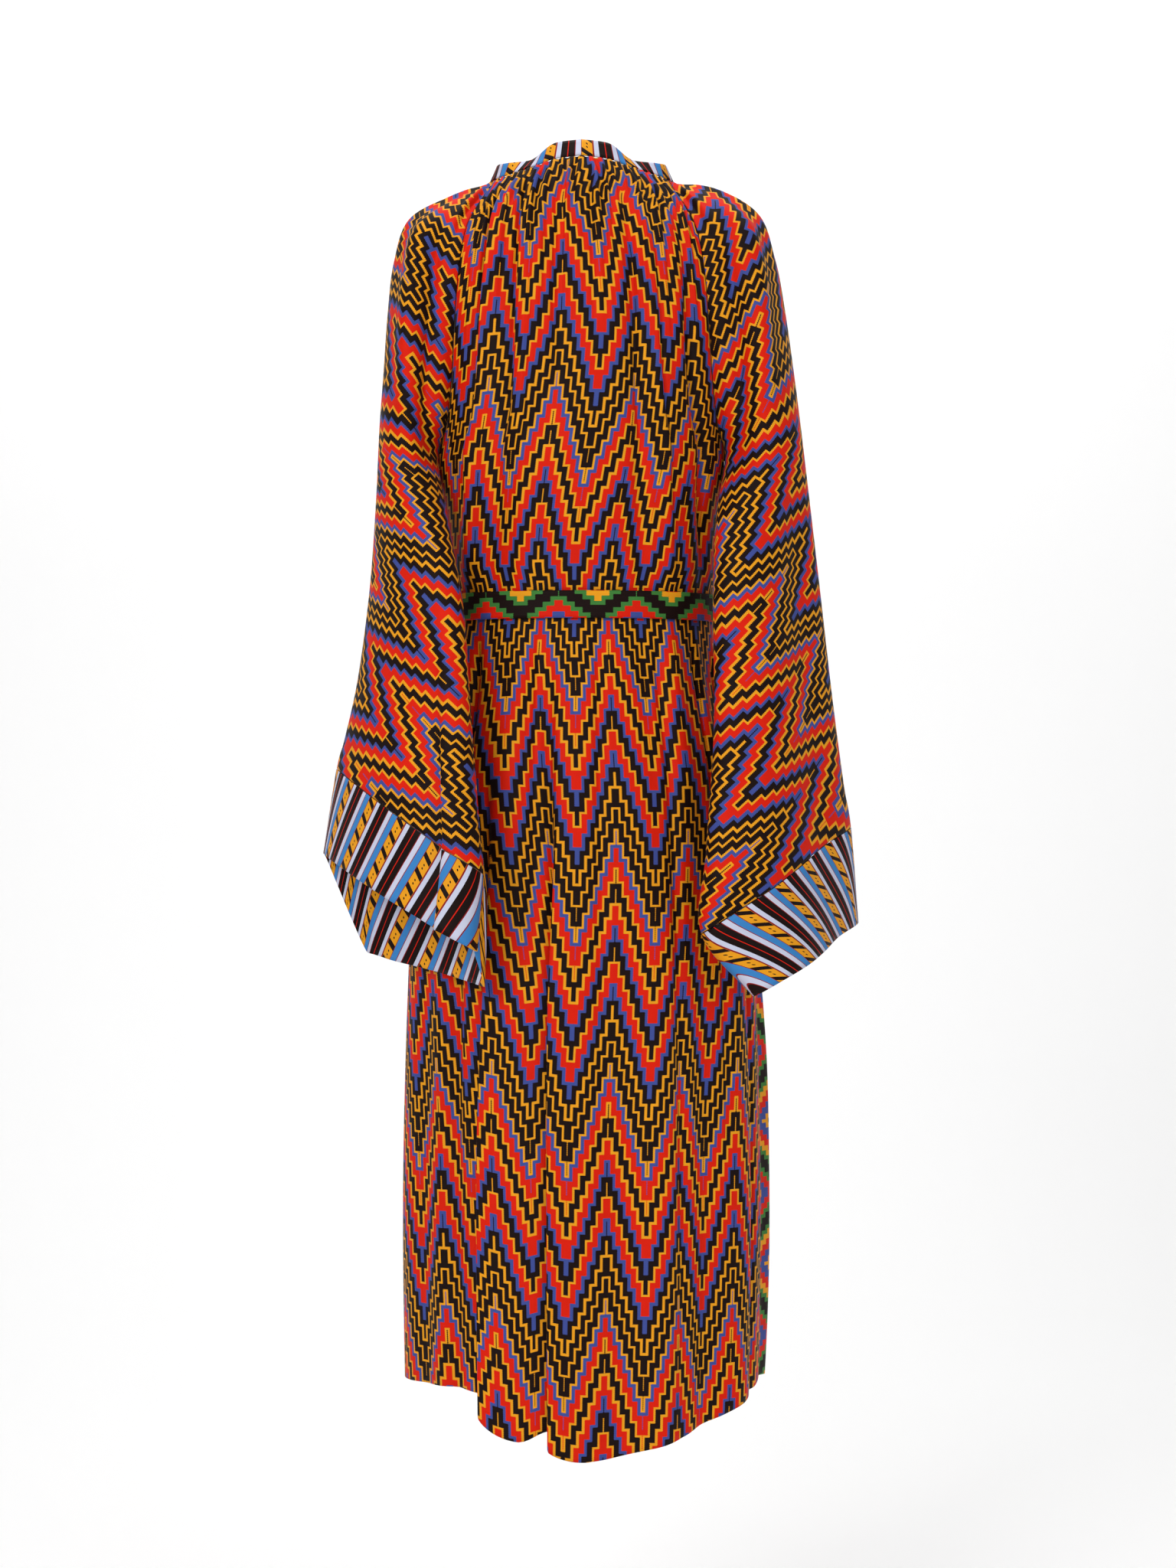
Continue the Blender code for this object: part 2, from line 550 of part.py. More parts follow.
def belt_grid():
    """The belt from its top edge down, round the back and then the front."""
    half = BELT_COLUMNS // 2
    across = np.linspace(-1.0, 1.0, half, endpoint=False)
    heights = np.linspace(BELT_TOP, BELT_TOP - BELT_HEIGHT, 3)
    rows = row_at(heights)[:, None]
    sides = []
    for face in (-1, 1):
        base, outward, _ = frame_at(
            lambda a, d: panel_point(face, a, d), *np.broadcast_arrays(-face * across, rows), -face
        )
        sides.append(base + outward * BELT_STANDOFF)
    loop = np.concatenate(sides, axis=1)
    return np.concatenate([loop, loop[:, :1]], axis=1)


def row_at(height):
    """The row of a panel whose side seams are at a height below the underarm."""
    return 1.0 + (UNDERARM_Z - np.asarray(height, float)) / (UNDERARM_Z - HEM_SIDE_Z)


def tail_grid(top_x, foot_x, length):
    """A free end of the belt, hanging from the knot and then lying on the front panel."""
    down = np.linspace(0.0, 1.0, TAIL_ROWS + 1)[:, None]
    row = row_at(TAIL_TOP - length * down)
    half_width = TAIL_HALF_WIDTH * (0.55 + 0.45 * ease(down, 0.0, 0.25))
    x = top_x + (foot_x - top_x) * down ** 0.8 + half_width * np.array([[-1.0, 0.0, 1.0]])
    level = UNDERARM_Z + (row - 1.0) * (HEM_SIDE_Z - UNDERARM_Z)
    half_turn = np.radians(read(PANEL_TURN, "row", "deg", row))
    sideways = x / read(BODY, "z", "half_width", level) * np.sin(half_turn)
    standoff = TAIL_TOP_STANDOFF + (TAIL_STANDOFF - TAIL_TOP_STANDOFF) * ease(down, 0.0, 0.3)
    return panel_surface(1, np.arcsin(sideways) / half_turn, row, standoff)


def quads(rows, columns, joined_from=None, flip=False):
    """Faces of a grid. From the row joined_from down, its last column is its first again."""
    def number(row, column):
        joined = joined_from is not None and row >= joined_from and column == columns - 1
        return row * columns + (0 if joined else column)

    faces = []
    for row in range(rows - 1):
        for column in range(columns - 1):
            face = [
                number(row, column), number(row + 1, column),
                number(row + 1, column + 1), number(row, column + 1),
            ]
            faces.append(face[::-1] if flip else face)
    return faces


def material(name, colour, roughness):
    made = bpy.data.materials.new(name)
    made.use_nodes = True
    shader = made.node_tree.nodes["Principled BSDF"]
    shader.inputs["Base Color"].default_value = colour
    shader.inputs["Roughness"].default_value = roughness
    shader.inputs["Metallic"].default_value = 0.0
    return made


def add_object(name, points, faces, colour, roughness, collection):
    """A mesh object of its own, with its own material and smooth shading."""
    used = sorted({index for face in faces for index in face})
    place = {index: i for i, index in enumerate(used)}
    points = np.asarray(points).reshape(-1, 3)
    mesh = bpy.data.meshes.new(name)
    mesh.from_pydata(
        [tuple(points[index]) for index in used], [],
        [[place[index] for index in face] for face in faces],
    )
    mesh.validate()
    mesh.shade_smooth()
    mesh.materials.append(material(name, colour, roughness))
    made = bpy.data.objects.new(name, mesh)
    collection.objects.link(made)
    return made


def add_cloth(name, grid, thickness, colour, collection, joined_from=None, flip=False):
    """A sheet with half its thickness on each side of its points."""
    faces = quads(grid.shape[0], grid.shape[1], joined_from, flip)
    made = add_object(name, grid, faces, colour, 0.7, collection)
    solid = made.modifiers.new("cloth thickness", "SOLIDIFY")
    solid.thickness = thickness
    solid.offset = 0.0
    solid.use_rim = True
    solid.use_quality_normals = True
    return made


def add_panel(name, grid, colour, collection, flip=False):
    """A panel as two solids, its upper and lower part, that meet behind the belt."""
    waist = len(UPPER_ROWS) + LOWER_ROWS.index(WAIST_ROW)
    upper, lower = grid[:waist + 1].copy(), grid[waist:].copy()
    pull_in(upper, np.s_[-1], np.s_[-2], WAIST_GAP / 2)
    pull_in(lower, np.s_[0], np.s_[1], WAIST_GAP / 2)
    add_cloth(f"{name}_upper", upper, PANEL_CLOTH, colour, collection, flip=flip)
    add_cloth(f"{name}_lower", lower, PANEL_CLOTH, colour, collection, flip=flip)


def add_knot(name, collection):
    """The belt's flat knot, a softly squared lump just in front of the belt."""
    rings, around = 9, 16
    half = np.array(KNOT_HALF_SIZE)
    front = panel_point(1, 0.0, row_at(KNOT_MIDDLE))[1] + BELT_STANDOFF + BELT_CLOTH / 2
    centre = np.array([0.0, front + KNOT_GAP + half[1], KNOT_MIDDLE])

    def squared(value):
        return np.sign(value) * np.abs(value) ** 0.7

    points, faces = [centre + half * (0, 0, 1)], []
    for ring in range(1, rings):
        tilt = math.pi * ring / rings
        for step in range(around):
            turn = 2 * math.pi * step / around
            direction = (
                squared(math.sin(tilt)) * squared(math.cos(turn)),
                squared(math.sin(tilt)) * squared(math.sin(turn)),
                squared(math.cos(tilt)),
            )
            points.append(centre + half * direction)
    points.append(centre - half * (0, 0, 1))
    foot = len(points) - 1
    for step in range(around):
        after = (step + 1) % around
        faces.append([0, 1 + step, 1 + after])
        faces.append([foot, foot - around + after, foot - around + step])
        for ring in range(rings - 2):
            upper, lower = 1 + ring * around, 1 + (ring + 1) * around
            faces.append([upper + step, lower + step, lower + after, upper + after])
    return add_object(name, points, faces, DIAMOND_PRINT, 0.6, collection)


def build():
    for old in list(bpy.data.objects):
        bpy.data.objects.remove(old, do_unlink=True)
    kaftan = bpy.data.collections.new("kaftan")
    bpy.context.scene.collection.children.link(kaftan)

    back, front, left, right = garment_grids()
    left_cuff, right_cuff = cuff_grid(-1, left), cuff_grid(1, right)
    tube = len(UPPER_ROWS)
    add_panel("back_panel", back, FLAME_PRINT, kaftan)
    add_panel("front_panel", front, DIAMOND_PRINT, kaftan, flip=True)
    add_cloth("sleeve_left", left, PANEL_CLOTH, FLAME_PRINT, kaftan, tube, flip=True)
    add_cloth("sleeve_right", right, PANEL_CLOTH, FLAME_PRINT, kaftan, tube)
    add_cloth("cuff_left", left_cuff, CUFF_CLOTH, STRIPE_TRIM, kaftan, 0, flip=True)
    add_cloth("cuff_right", right_cuff, CUFF_CLOTH, STRIPE_TRIM, kaftan, 0)
    add_cloth("neckband", band_grid(), BAND_CLOTH, STRIPE_TRIM, kaftan, 0)
    add_cloth("belt", belt_grid(), BELT_CLOTH, DIAMOND_PRINT, kaftan, 0)
    add_knot("belt_knot", kaftan)
    add_cloth("belt_tail_left", tail_grid(*LEFT_TAIL), BELT_CLOTH, DIAMOND_PRINT, kaftan, flip=True)
    add_cloth("belt_tail_right", tail_grid(*RIGHT_TAIL), BELT_CLOTH, DIAMOND_PRINT, kaftan, flip=True)


build()
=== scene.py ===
# %% [markdown]
# # Dressing a printed kaftan
# The frame holds the kaftan's plain solids: two panels, two raglan sleeves, two cuffs, a neckband
# and a belt with its knot and ends. This lesson makes the cloth that is seen in their place. Each
# piece is a thin sheet worked out from the same sizes as its solid, with finer gathers and folds,
# and its print follows the thread of the cloth through a UV map in metres.

# %% Load the frame
import math

import bpy
import numpy as np
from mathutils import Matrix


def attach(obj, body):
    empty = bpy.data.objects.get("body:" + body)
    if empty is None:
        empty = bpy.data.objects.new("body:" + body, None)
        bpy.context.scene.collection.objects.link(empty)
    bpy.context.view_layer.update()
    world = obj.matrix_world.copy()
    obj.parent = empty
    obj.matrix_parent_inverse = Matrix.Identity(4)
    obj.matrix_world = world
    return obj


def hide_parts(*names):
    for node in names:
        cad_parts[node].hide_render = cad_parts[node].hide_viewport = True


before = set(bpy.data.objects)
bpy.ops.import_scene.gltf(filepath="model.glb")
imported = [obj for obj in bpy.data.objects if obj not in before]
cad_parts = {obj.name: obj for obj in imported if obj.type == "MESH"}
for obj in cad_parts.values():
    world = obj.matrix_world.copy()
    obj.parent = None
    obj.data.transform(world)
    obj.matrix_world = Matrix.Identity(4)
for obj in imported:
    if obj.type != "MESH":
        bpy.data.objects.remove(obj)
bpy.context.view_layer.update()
print("solids", sorted(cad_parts))

# %% [markdown]
# ## The sizes of the garment
# The cut of a garment is a set of short tables. The neck seam is an oval with a height for each
# angle, a sleeve is a row of rings, and the body is a row of girths. A smooth curve through each
# table gives every point in between. These are the same sizes that the solids were made from, so
# the cloth lies where the solids lie.

# %% Sizes of the neck
NECK_HALF_WIDTH = 0.0975
NECK_BACK_DEPTH = 0.066
NECK_FRONT_DEPTH = 0.094
NECK_MIDDLE_Y = 0.012
BACK_CORNER_DEG = 68.0
FRONT_CORNER_DEG = 112.0
NECK_SEAM = {
    "angle_deg": (0, 18, 27, 40, 57, 72, 90, 112, 135, 155, 180),
    "z": (0.029, 0.0255, 0.021, 0.0165, 0.013, 0.0115, 0.009, -0.008, -0.040, -0.066, -0.082),
}
NECK_BAND = {
    "angle_deg": (0, 20, 38, 57, 72, 90, 130, 180),
    "lean": (-0.008, -0.008, -0.013, -0.005, -0.006, -0.009, -0.006, -0.006),
    "rise": (0.0180, 0.0180, 0.0120, 0.0145, 0.0170, 0.0165, 0.0185, 0.0185),
}
print("neck", round(2 * NECK_HALF_WIDTH, 3), "m wide")

# %% Sizes of the sleeves
UNDERARM_X = 0.150
UNDERARM_Y = -0.020
UNDERARM_Z = -0.280
UNDERARM_STEP = 6
CUFF_STEP = 11
RING_COLUMNS = (
    "x_out", "z_out", "x_in", "z_in", "y_out", "y_in", "half_depth", "open_deg", "front_drop",
)
RIGHT_RINGS = (
    (0.099, 0.009, 0.091, 0.015, 0.000, 0.000, 0.036, 85, 0.000),
    (0.144, 0.001, 0.116, -0.036, 0.000, 0.000, 0.066, 80, 0.000),
    (0.186, -0.024, 0.126, -0.090, 0.000, 0.000, 0.080, 70, 0.000),
    (0.203, -0.069, 0.131, -0.145, -0.004, 0.000, 0.082, 58, 0.000),
    (0.212, -0.118, 0.135, -0.200, -0.010, -0.004, 0.078, 45, 0.000),
    (0.221, -0.183, 0.141, -0.245, -0.015, -0.010, 0.070, 28, 0.000),
    (0.229, -0.250, UNDERARM_X, UNDERARM_Z, -0.022, UNDERARM_Y, 0.062, 0, 0.000),
    (0.237, -0.322, 0.138, -0.350, -0.030, -0.080, 0.052, 0, 0.000),
    (0.248, -0.420, 0.134, -0.440, -0.036, -0.108, 0.046, 0, 0.000),
    (0.260, -0.528, 0.134, -0.560, -0.040, -0.130, 0.046, 0, 0.000),
    (0.272, -0.619, 0.125, -0.687, -0.040, -0.152, 0.050, 0, 0.000),
    (0.280, -0.664, 0.120, -0.768, -0.034, -0.160, 0.054, 0, 0.000),
    (0.290, -0.764, 0.172, -0.831, -0.006, -0.150, 0.060, 0, 0.000),
)
LEFT_RINGS = (
    (0.099, 0.009, 0.091, 0.015, 0.000, 0.000, 0.036, 85, 0.000),
    (0.140, -0.007, 0.117, -0.036, 0.000, 0.000, 0.066, 80, 0.000),
    (0.181, -0.029, 0.126, -0.090, 0.000, 0.000, 0.080, 70, 0.000),
    (0.197, -0.072, 0.131, -0.145, -0.004, 0.000, 0.082, 58, 0.000),
    (0.203, -0.126, 0.134, -0.200, -0.010, -0.004, 0.078, 45, 0.000),
    (0.207, -0.188, 0.140, -0.245, -0.015, -0.010, 0.070, 28, 0.000),
    (0.211, -0.250, UNDERARM_X, UNDERARM_Z, -0.022, UNDERARM_Y, 0.060, 0, 0.000),
    (0.214, -0.330, 0.137, -0.350, -0.034, -0.082, 0.050, 0, 0.005),
    (0.220, -0.420, 0.121, -0.440, -0.044, -0.120, 0.046, 0, 0.018),
    (0.231, -0.510, 0.113, -0.555, -0.056, -0.152, 0.048, 0, 0.040),
    (0.244, -0.572, 0.106, -0.650, -0.062, -0.178, 0.052, 0, 0.066),
    (0.252, -0.603, 0.101, -0.708, -0.064, -0.188, 0.056, 0, 0.085),
    (0.266, -0.690, 0.106, -0.784, -0.060, -0.196, 0.060, 0, 0.108),
)
FRONT_SWING = 0.38
FRONT_FLATNESS = 0.58
print("rings in a sleeve", len(RIGHT_RINGS), "right", len(LEFT_RINGS), "left")

# %% Sizes of the body
BODY = {
    "z": (UNDERARM_Z, -0.340, -0.400, -0.436, -0.485, -0.600, -0.780, -1.050, -1.340),
    "half_width": (UNDERARM_X, 0.143, 0.140, 0.138, 0.143, 0.165, 0.180, 0.187, 0.183),
    "side_y": (UNDERARM_Y, -0.014, -0.008, -0.006, -0.006, -0.008, -0.010, -0.014, -0.018),
    "back_y": (-0.124, -0.115, -0.103, -0.098, -0.106, -0.132, -0.148, -0.156, -0.160),
    "front_y": (0.128, 0.120, 0.109, 0.104, 0.111, 0.129, 0.140, 0.146, 0.148),
}
BACK_CENTRE = {
    "row": (0.0, 0.12, 0.30, 0.55, 0.80, 1.0),
    "y": (-NECK_BACK_DEPTH, -0.082, -0.102, -0.117, -0.123, -0.124),
    "z": (0.029, 0.000, -0.055, -0.140, -0.220, UNDERARM_Z),
}
FRONT_CENTRE = {
    "row": (0.0, 0.12, 0.30, 0.55, 0.80, 1.0),
    "y": (NECK_FRONT_DEPTH, 0.100, 0.112, 0.124, 0.129, 0.128),
    "z": (-0.082, -0.098, -0.132, -0.184, -0.236, UNDERARM_Z),
}
PANEL_TURN = {"row": (0.0, 0.5, 1.0, 1.12, 2.0), "deg": (62, 68, 72, 86, 86)}
HEM_SIDE_Z = -1.239
BACK_HEM = {
    "share": (-1, -0.75, -0.43, -0.34, -0.24, -0.15, -0.06, 0.05, 0.28, 0.50, 0.75, 1),
    "drop": (0, -0.004, -0.004, 0.028, 0.040, 0.034, 0.053, 0.057, 0.045, 0.030, 0.011, 0),
}
FRONT_HEM = {
    "share": (-1, -0.80, -0.40, 0.0, 0.40, 0.80, 1),
    "drop": (0, 0.008, 0.034, 0.044, 0.034, 0.008, 0),
}
HEM_DIP_ROW = 1.25
print("side seam", round(UNDERARM_Z - HEM_SIDE_Z, 3), "m long")

# %% Sizes of the folds: place, width, depth, then the rows it grows between and fades between
BACK_FOLDS = (
    (-0.66, 0.060, 0.0060, 0.10, 0.50, 1.00, 1.50),
    (-0.47, 0.050, -0.0050, 0.05, 0.40, 1.00, 1.50),
    (-0.31, 0.050, 0.0050, 0.05, 0.40, 1.00, 1.50),
    (0.31, 0.050, -0.0050, 0.05, 0.40, 1.10, 1.60),
    (0.47, 0.045, 0.0050, 0.10, 0.50, 1.10, 1.60),
    (0.74, 0.055, -0.0060, 0.20, 0.60, 1.00, 1.50),
    (0.13, 0.090, -0.0060, 1.20, 1.80, 3.00, 4.00),
    (0.30, 0.080, 0.0070, 1.20, 1.80, 3.00, 4.00),
    (0.50, 0.070, -0.0080, 1.20, 1.80, 3.00, 4.00),
    (0.70, 0.080, 0.0060, 1.20, 1.80, 3.00, 4.00),
    (-0.72, 0.080, -0.0070, 1.20, 1.80, 3.00, 4.00),
)
BACK_CREASES = (
    (-0.415, 0.030, -0.0065, 1.25, 1.50, 3.00, 4.00),
    (-0.150, 0.032, -0.0075, 1.15, 1.35, 3.00, 4.00),
    (-0.545, 0.032, -0.0065, 1.18, 1.32, 3.00, 4.00),
    (-0.70, 0.024, -0.0050, 0.04, 0.25, 0.90, 1.12),
    (-0.44, 0.022, -0.0053, 0.03, 0.20, 0.75, 1.10),
    (-0.33, 0.019, -0.0040, 0.03, 0.20, 0.80, 1.05),
    (-0.17, 0.021, -0.0047, 0.03, 0.18, 0.55, 0.95),
    (0.07, 0.018, -0.0034, 0.03, 0.15, 0.35, 0.70),
    (0.33, 0.022, -0.0050, 0.03, 0.20, 0.85, 1.12),
    (0.50, 0.021, -0.0047, 0.03, 0.20, 0.95, 1.14),
    (0.76, 0.026, -0.0056, 0.05, 0.30, 1.00, 1.14),
    (-0.56, 0.027, -0.0056, 1.17, 1.24, 1.55, 1.95),
    (-0.24, 0.022, -0.0047, 1.17, 1.22, 1.35, 1.60),
    (0.08, 0.024, -0.0050, 1.17, 1.22, 1.45, 1.80),
    (0.38, 0.027, -0.0059, 1.17, 1.24, 1.70, 2.10),
    (0.62, 0.024, -0.0050, 1.17, 1.22, 1.50, 1.85),
    (0.82, 0.030, -0.0062, 1.17, 1.26, 1.80, 2.30),
)
FRONT_FOLDS = (
    (-0.62, 0.060, 0.0060, 0.20, 0.70, 1.00, 1.50),
    (-0.38, 0.055, -0.0050, 0.10, 0.50, 1.00, 1.50),
    (0.36, 0.055, -0.0050, 0.10, 0.50, 1.00, 1.50),
    (0.60, 0.060, 0.0060, 0.20, 0.70, 1.00, 1.50),
    (-0.72, 0.085, 0.0100, 1.20, 1.80, 3.00, 4.00),
    (-0.48, 0.075, -0.0120, 1.20, 1.80, 3.00, 4.00),
    (0.50, 0.075, -0.0120, 1.20, 1.80, 3.00, 4.00),
    (0.88, 0.085, 0.0165, 1.30, 1.70, 1.85, 2.40),
)
FRONT_CREASES = (
    (-0.66, 0.027, -0.0050, 0.05, 0.30, 0.95, 1.14),
    (-0.40, 0.022, -0.0047, 0.04, 0.25, 0.80, 1.10),
    (-0.14, 0.021, -0.0040, 0.04, 0.20, 0.60, 0.95),
    (0.22, 0.022, -0.0043, 0.04, 0.20, 0.70, 1.05),
    (0.58, 0.026, -0.0053, 0.05, 0.30, 0.95, 1.14),
    (-0.50, 0.027, -0.0056, 1.17, 1.24, 1.60, 1.95),
    (0.26, 0.024, -0.0050, 1.17, 1.22, 1.45, 1.80),
    (0.64, 0.027, -0.0056, 1.17, 1.24, 1.70, 2.10),
)
RIGHT_SLEEVE_FOLDS = (
    (0.13, 0.050, -0.0110, 0.8, 2.4, 4.5, 6.5),
    (0.25, 0.055, 0.0080, 0.8, 2.4, 4.5, 6.5),
    (0.86, 0.050, -0.0090, 0.8, 2.4, 4.5, 6.5),
    (0.36, 0.055, -0.0060, 5.5, 8.0, 13.0, 14.0),
    (0.22, 0.055, 0.0050, 6.5, 9.0, 13.0, 14.0),
    (0.68, 0.060, -0.0070, 6.5, 9.0, 13.0, 14.0),
)
LEFT_SLEEVE_FOLDS = (
    (0.13, 0.050, -0.0110, 0.8, 2.4, 4.5, 6.5),
    (0.25, 0.055, 0.0080, 0.8, 2.4, 4.5, 6.5),
    (0.86, 0.050, -0.0090, 0.8, 2.4, 4.5, 6.5),
    (0.68, 0.060, -0.0070, 6.5, 9.0, 13.0, 14.0),
)
BACK_PLEATS = (
    (-0.375, 0.026, 1.70, 0.0084, 1, 1.22, 1.75),
    (-0.105, 0.026, 1.75, 0.0084, 1, 1.20, 1.62),
)
LEFT_SLEEVE_PLEATS = ((0.16, 0.024, 1.10, 0.0084, -1, 7.0, 10.5),)
BACK_GATHERS = 24
FRONT_GATHERS = 18
SLEEVE_GATHERS = 5.5
GATHER_AT_BAND = 0.0010
GATHER_DEPTH = 0.0034
GATHER_FULL_ROW = 0.09
GATHER_END_ROW = 0.80
BELT_TOP = -0.421
BELT_HEIGHT = 0.029
BELT_STANDOFF = 0.0042
WAIST_PINCH = 0.85
WAIST_REACH = 0.045
print("folds", len(BACK_FOLDS + BACK_CREASES), "behind", len(FRONT_FOLDS + FRONT_CREASES), "in front")

# %% [markdown]
# ## From tables to surfaces
# A panel point is named by its share across and its row down, a sleeve point by its turn round and
# its step down. Two small readers put a smooth curve through a table, and everything else is plain
# geometry: ovals, half turns and a slide towards the seam that the piece is sewn to.

# %% Reading the tables
def on_curve(rows, steps):
    """Rows of a table at fractional steps, on a smooth curve through all of them."""
    rows = np.asarray(rows, float)
    steps = np.clip(np.asarray(steps, float), 0.0, len(rows) - 1.0)
    first = np.minimum(steps.astype(int), len(rows) - 2)
    part = (steps - first)[..., None]
    slopes = np.gradient(rows, axis=0)
    to_next = part * part * (3 - 2 * part)
    return (
        rows[first] * (1 - to_next)
        + rows[first + 1] * to_next
        + slopes[first] * part * (1 - part) ** 2
        + slopes[first + 1] * part * part * (part - 1)
    )


def read(table, key, name, at):
    """One named column of a table, at given values of its key column."""
    keys = np.asarray(table[key], float)
    order = np.argsort(keys)
    steps = np.interp(at, keys[order], np.arange(len(keys)))
    return on_curve(np.asarray(table[name], float)[order][:, None], steps)[..., 0]


def ease(value, start, full):
    """0 before start, 1 after full, and smooth between them."""
    share = np.clip((np.asarray(value, float) - start) / (full - start), 0.0, 1.0)
    return share * share * (3 - 2 * share)


def unit(vectors):
    """The same directions with length 1."""
    return vectors / np.maximum(np.linalg.norm(vectors, axis=-1, keepdims=True), 1e-9)


def from_back(angle_deg):
    """An angle round the neck as its distance from the centre back, 0 to 180."""
    return np.abs((np.asarray(angle_deg, float) + 180.0) % 360.0 - 180.0)


print("half width at the waist", round(float(read(BODY, "z", "half_width", BELT_TOP)), 3), "m")


# %% The neck seam and the neckband
def neck_point(angle_deg):
    """A point of the neck seam, the angle being counted from the centre back towards +X."""
    angle = np.radians(np.asarray(angle_deg, float))
    depth = np.where(np.cos(angle) > 0, -NECK_BACK_DEPTH, NECK_FRONT_DEPTH)
    height = read(NECK_SEAM, "angle_deg", "z", from_back(angle_deg))
    return np.stack(
        [NECK_HALF_WIDTH * np.sin(angle), depth * np.abs(np.cos(angle)), height], axis=-1
    )


def band_rise(angle_deg):
    """The step from the neck seam to the top of the neckband."""
    outward = neck_point(angle_deg) - (0.0, NECK_MIDDLE_Y, 0.0)
    outward[..., 2] = 0.0
    around = from_back(angle_deg)
    lean = read(NECK_BAND, "angle_deg", "lean", around)
    rise = read(NECK_BAND, "angle_deg", "rise", around)
    return unit(outward) * lean[..., None] + rise[..., None] * np.array([0.0, 0.0, 1.0])


def neck_angle(face, share):
    """The angle round the neck that a share across a panel's top edge meets."""
    return share * BACK_CORNER_DEG if face < 0 else 180.0 - share * (180.0 - FRONT_CORNER_DEG)


print("centre back of the neck", np.round(neck_point(0.0), 3))


# %% The sleeve's rings
def ring_point(side, rings, step, turn):
    """A point of a sleeve's ring. Turn runs from the back of the inner seam to its front."""
    values = on_curve(rings, step)
    ring = {name: values[..., i] for i, name in enumerate(RING_COLUMNS)}
    start = np.radians(np.where(step < UNDERARM_STEP, np.maximum(ring["open_deg"], 0.0), 0.0))
    angle = start + turn * (2 * math.pi - 2 * start)

    def between(outer, inner):
        half = (ring[outer] - ring[inner]) / (1 + np.cos(start))
        return ring[outer] - half * (1 + np.cos(angle))

    flat = 1 - (1 - FRONT_FLATNESS) * ease(step, UNDERARM_STEP, 9.0)
    depth = ring["half_depth"] * np.where(np.sin(angle) > 0, 1.0, flat)
    drop = ring["front_drop"] * ease(-np.sin(angle), 0.0, 0.4) * (0.65 - 0.30 * np.cos(angle))
    x = side * (between("x_out", "x_in") - FRONT_SWING * drop)
    y = between("y_out", "y_in") - depth * np.sin(angle)
    return np.stack([x, y, between("z_out", "z_in") - drop], axis=-1)


def sleeve_point(side, turn, step):
    """A point of a sleeve or its cuff with no folds, its top drawn onto the neck seam."""
    rings = RIGHT_RINGS if side > 0 else LEFT_RINGS
    turn, step = np.broadcast_arrays(np.asarray(turn, float), np.asarray(step, float))
    angle = side * (BACK_CORNER_DEG + turn * (FRONT_CORNER_DEG - BACK_CORNER_DEG))
    to_neck = neck_point(angle) - ring_point(side, rings, np.zeros_like(step), turn)
    point = ring_point(side, rings, step, turn)
    return point + to_neck * (1 - ease(step, 0.0, 2.2))[..., None]


print("right cuff at its outer edge", np.round(sleeve_point(1, 0.5, 12.0), 3))


# %% The two panels
def seam_to_seam(face, share, row):
    """A point of a panel above the underarm, where it spans the two sleeve seams."""
    half_turn = np.radians(read(PANEL_TURN, "row", "deg", row))
    sideways = (np.sin(share * half_turn) / np.sin(half_turn))[..., None]
    bulge = (np.cos(share * half_turn) - np.cos(half_turn)) / (1 - np.cos(half_turn))
    turn = 0.0 if face < 0 else 1.0
    left = sleeve_point(-1, turn, row * UNDERARM_STEP)
    right = sleeve_point(1, turn, row * UNDERARM_STEP)
    centre = BACK_CENTRE if face < 0 else FRONT_CENTRE
    point = (left + right) / 2 + (right - left) / 2 * sideways
    point[..., 1] += (read(centre, "row", "y", row) - point[..., 1]) * bulge
    point[..., 2] += (read(centre, "row", "z", row) - point[..., 2]) * bulge
    return point


def side_to_side(face, share, row):
    """A point of a panel below the underarm, where it spans the two side seams."""
    level = UNDERARM_Z + (row - 1.0) * (HEM_SIDE_Z - UNDERARM_Z)
    half_turn = np.radians(read(PANEL_TURN, "row", "deg", row))
    sideways = np.sin(share * half_turn) / np.sin(half_turn)
    bulge = (np.cos(share * half_turn) - np.cos(half_turn)) / (1 - np.cos(half_turn))
    side_y = read(BODY, "z", "side_y", level)
    centre_y = read(BODY, "z", "back_y" if face < 0 else "front_y", level)
    dip = read(BACK_HEM if face < 0 else FRONT_HEM, "share", "drop", share)
    dip_growth = np.clip((row - HEM_DIP_ROW) / (2.0 - HEM_DIP_ROW), 0.0, None)
    return np.stack([
        read(BODY, "z", "half_width", level) * sideways,
        side_y + (centre_y - side_y) * bulge,
        level - dip * dip_growth,
    ], axis=-1)


def panel_point(face, share, row):
    """A point of the back (-1) or front (1) panel with no folds.

    Share runs from -1 at the left seam to 1 at the right one. Row is 0 at the neck, 1 at
    the underarm and 2 at the hem.
    """
    share, row = np.broadcast_arrays(np.asarray(share, float), np.asarray(row, float))
    upper = np.clip(row, 0.0, 1.0)
    neck = neck_point(neck_angle(face, share))
    to_neck = neck - seam_to_seam(face, share, np.zeros_like(row))
    above = seam_to_seam(face, share, upper) + to_neck * (1 - ease(row, 0.0, 0.3))[..., None]
    below = side_to_side(face, share, np.maximum(row, 1.0))
    return np.where((row <= 1.0)[..., None], above, below)


def row_at(height):
    """The row of a panel whose side seams are at a height below the underarm."""
    return 1.0 + (UNDERARM_Z - np.asarray(height, float)) / (UNDERARM_Z - HEM_SIDE_Z)


print("middle of the back hem", np.round(panel_point(-1, 0.0, 2.0), 3))


# %% [markdown]
# ## Gathers, folds and pleats
# Cloth drawn up under a band stands in small uneven waves that die out further down. Longer soft
# folds start in them and run down the back, and in the skirt two folds double back under
# themselves. Simulated cloth would hide where each fold comes from, so every fold is a short swell
# or trough moved square to the surface, and a pleat also slides its layers sideways.

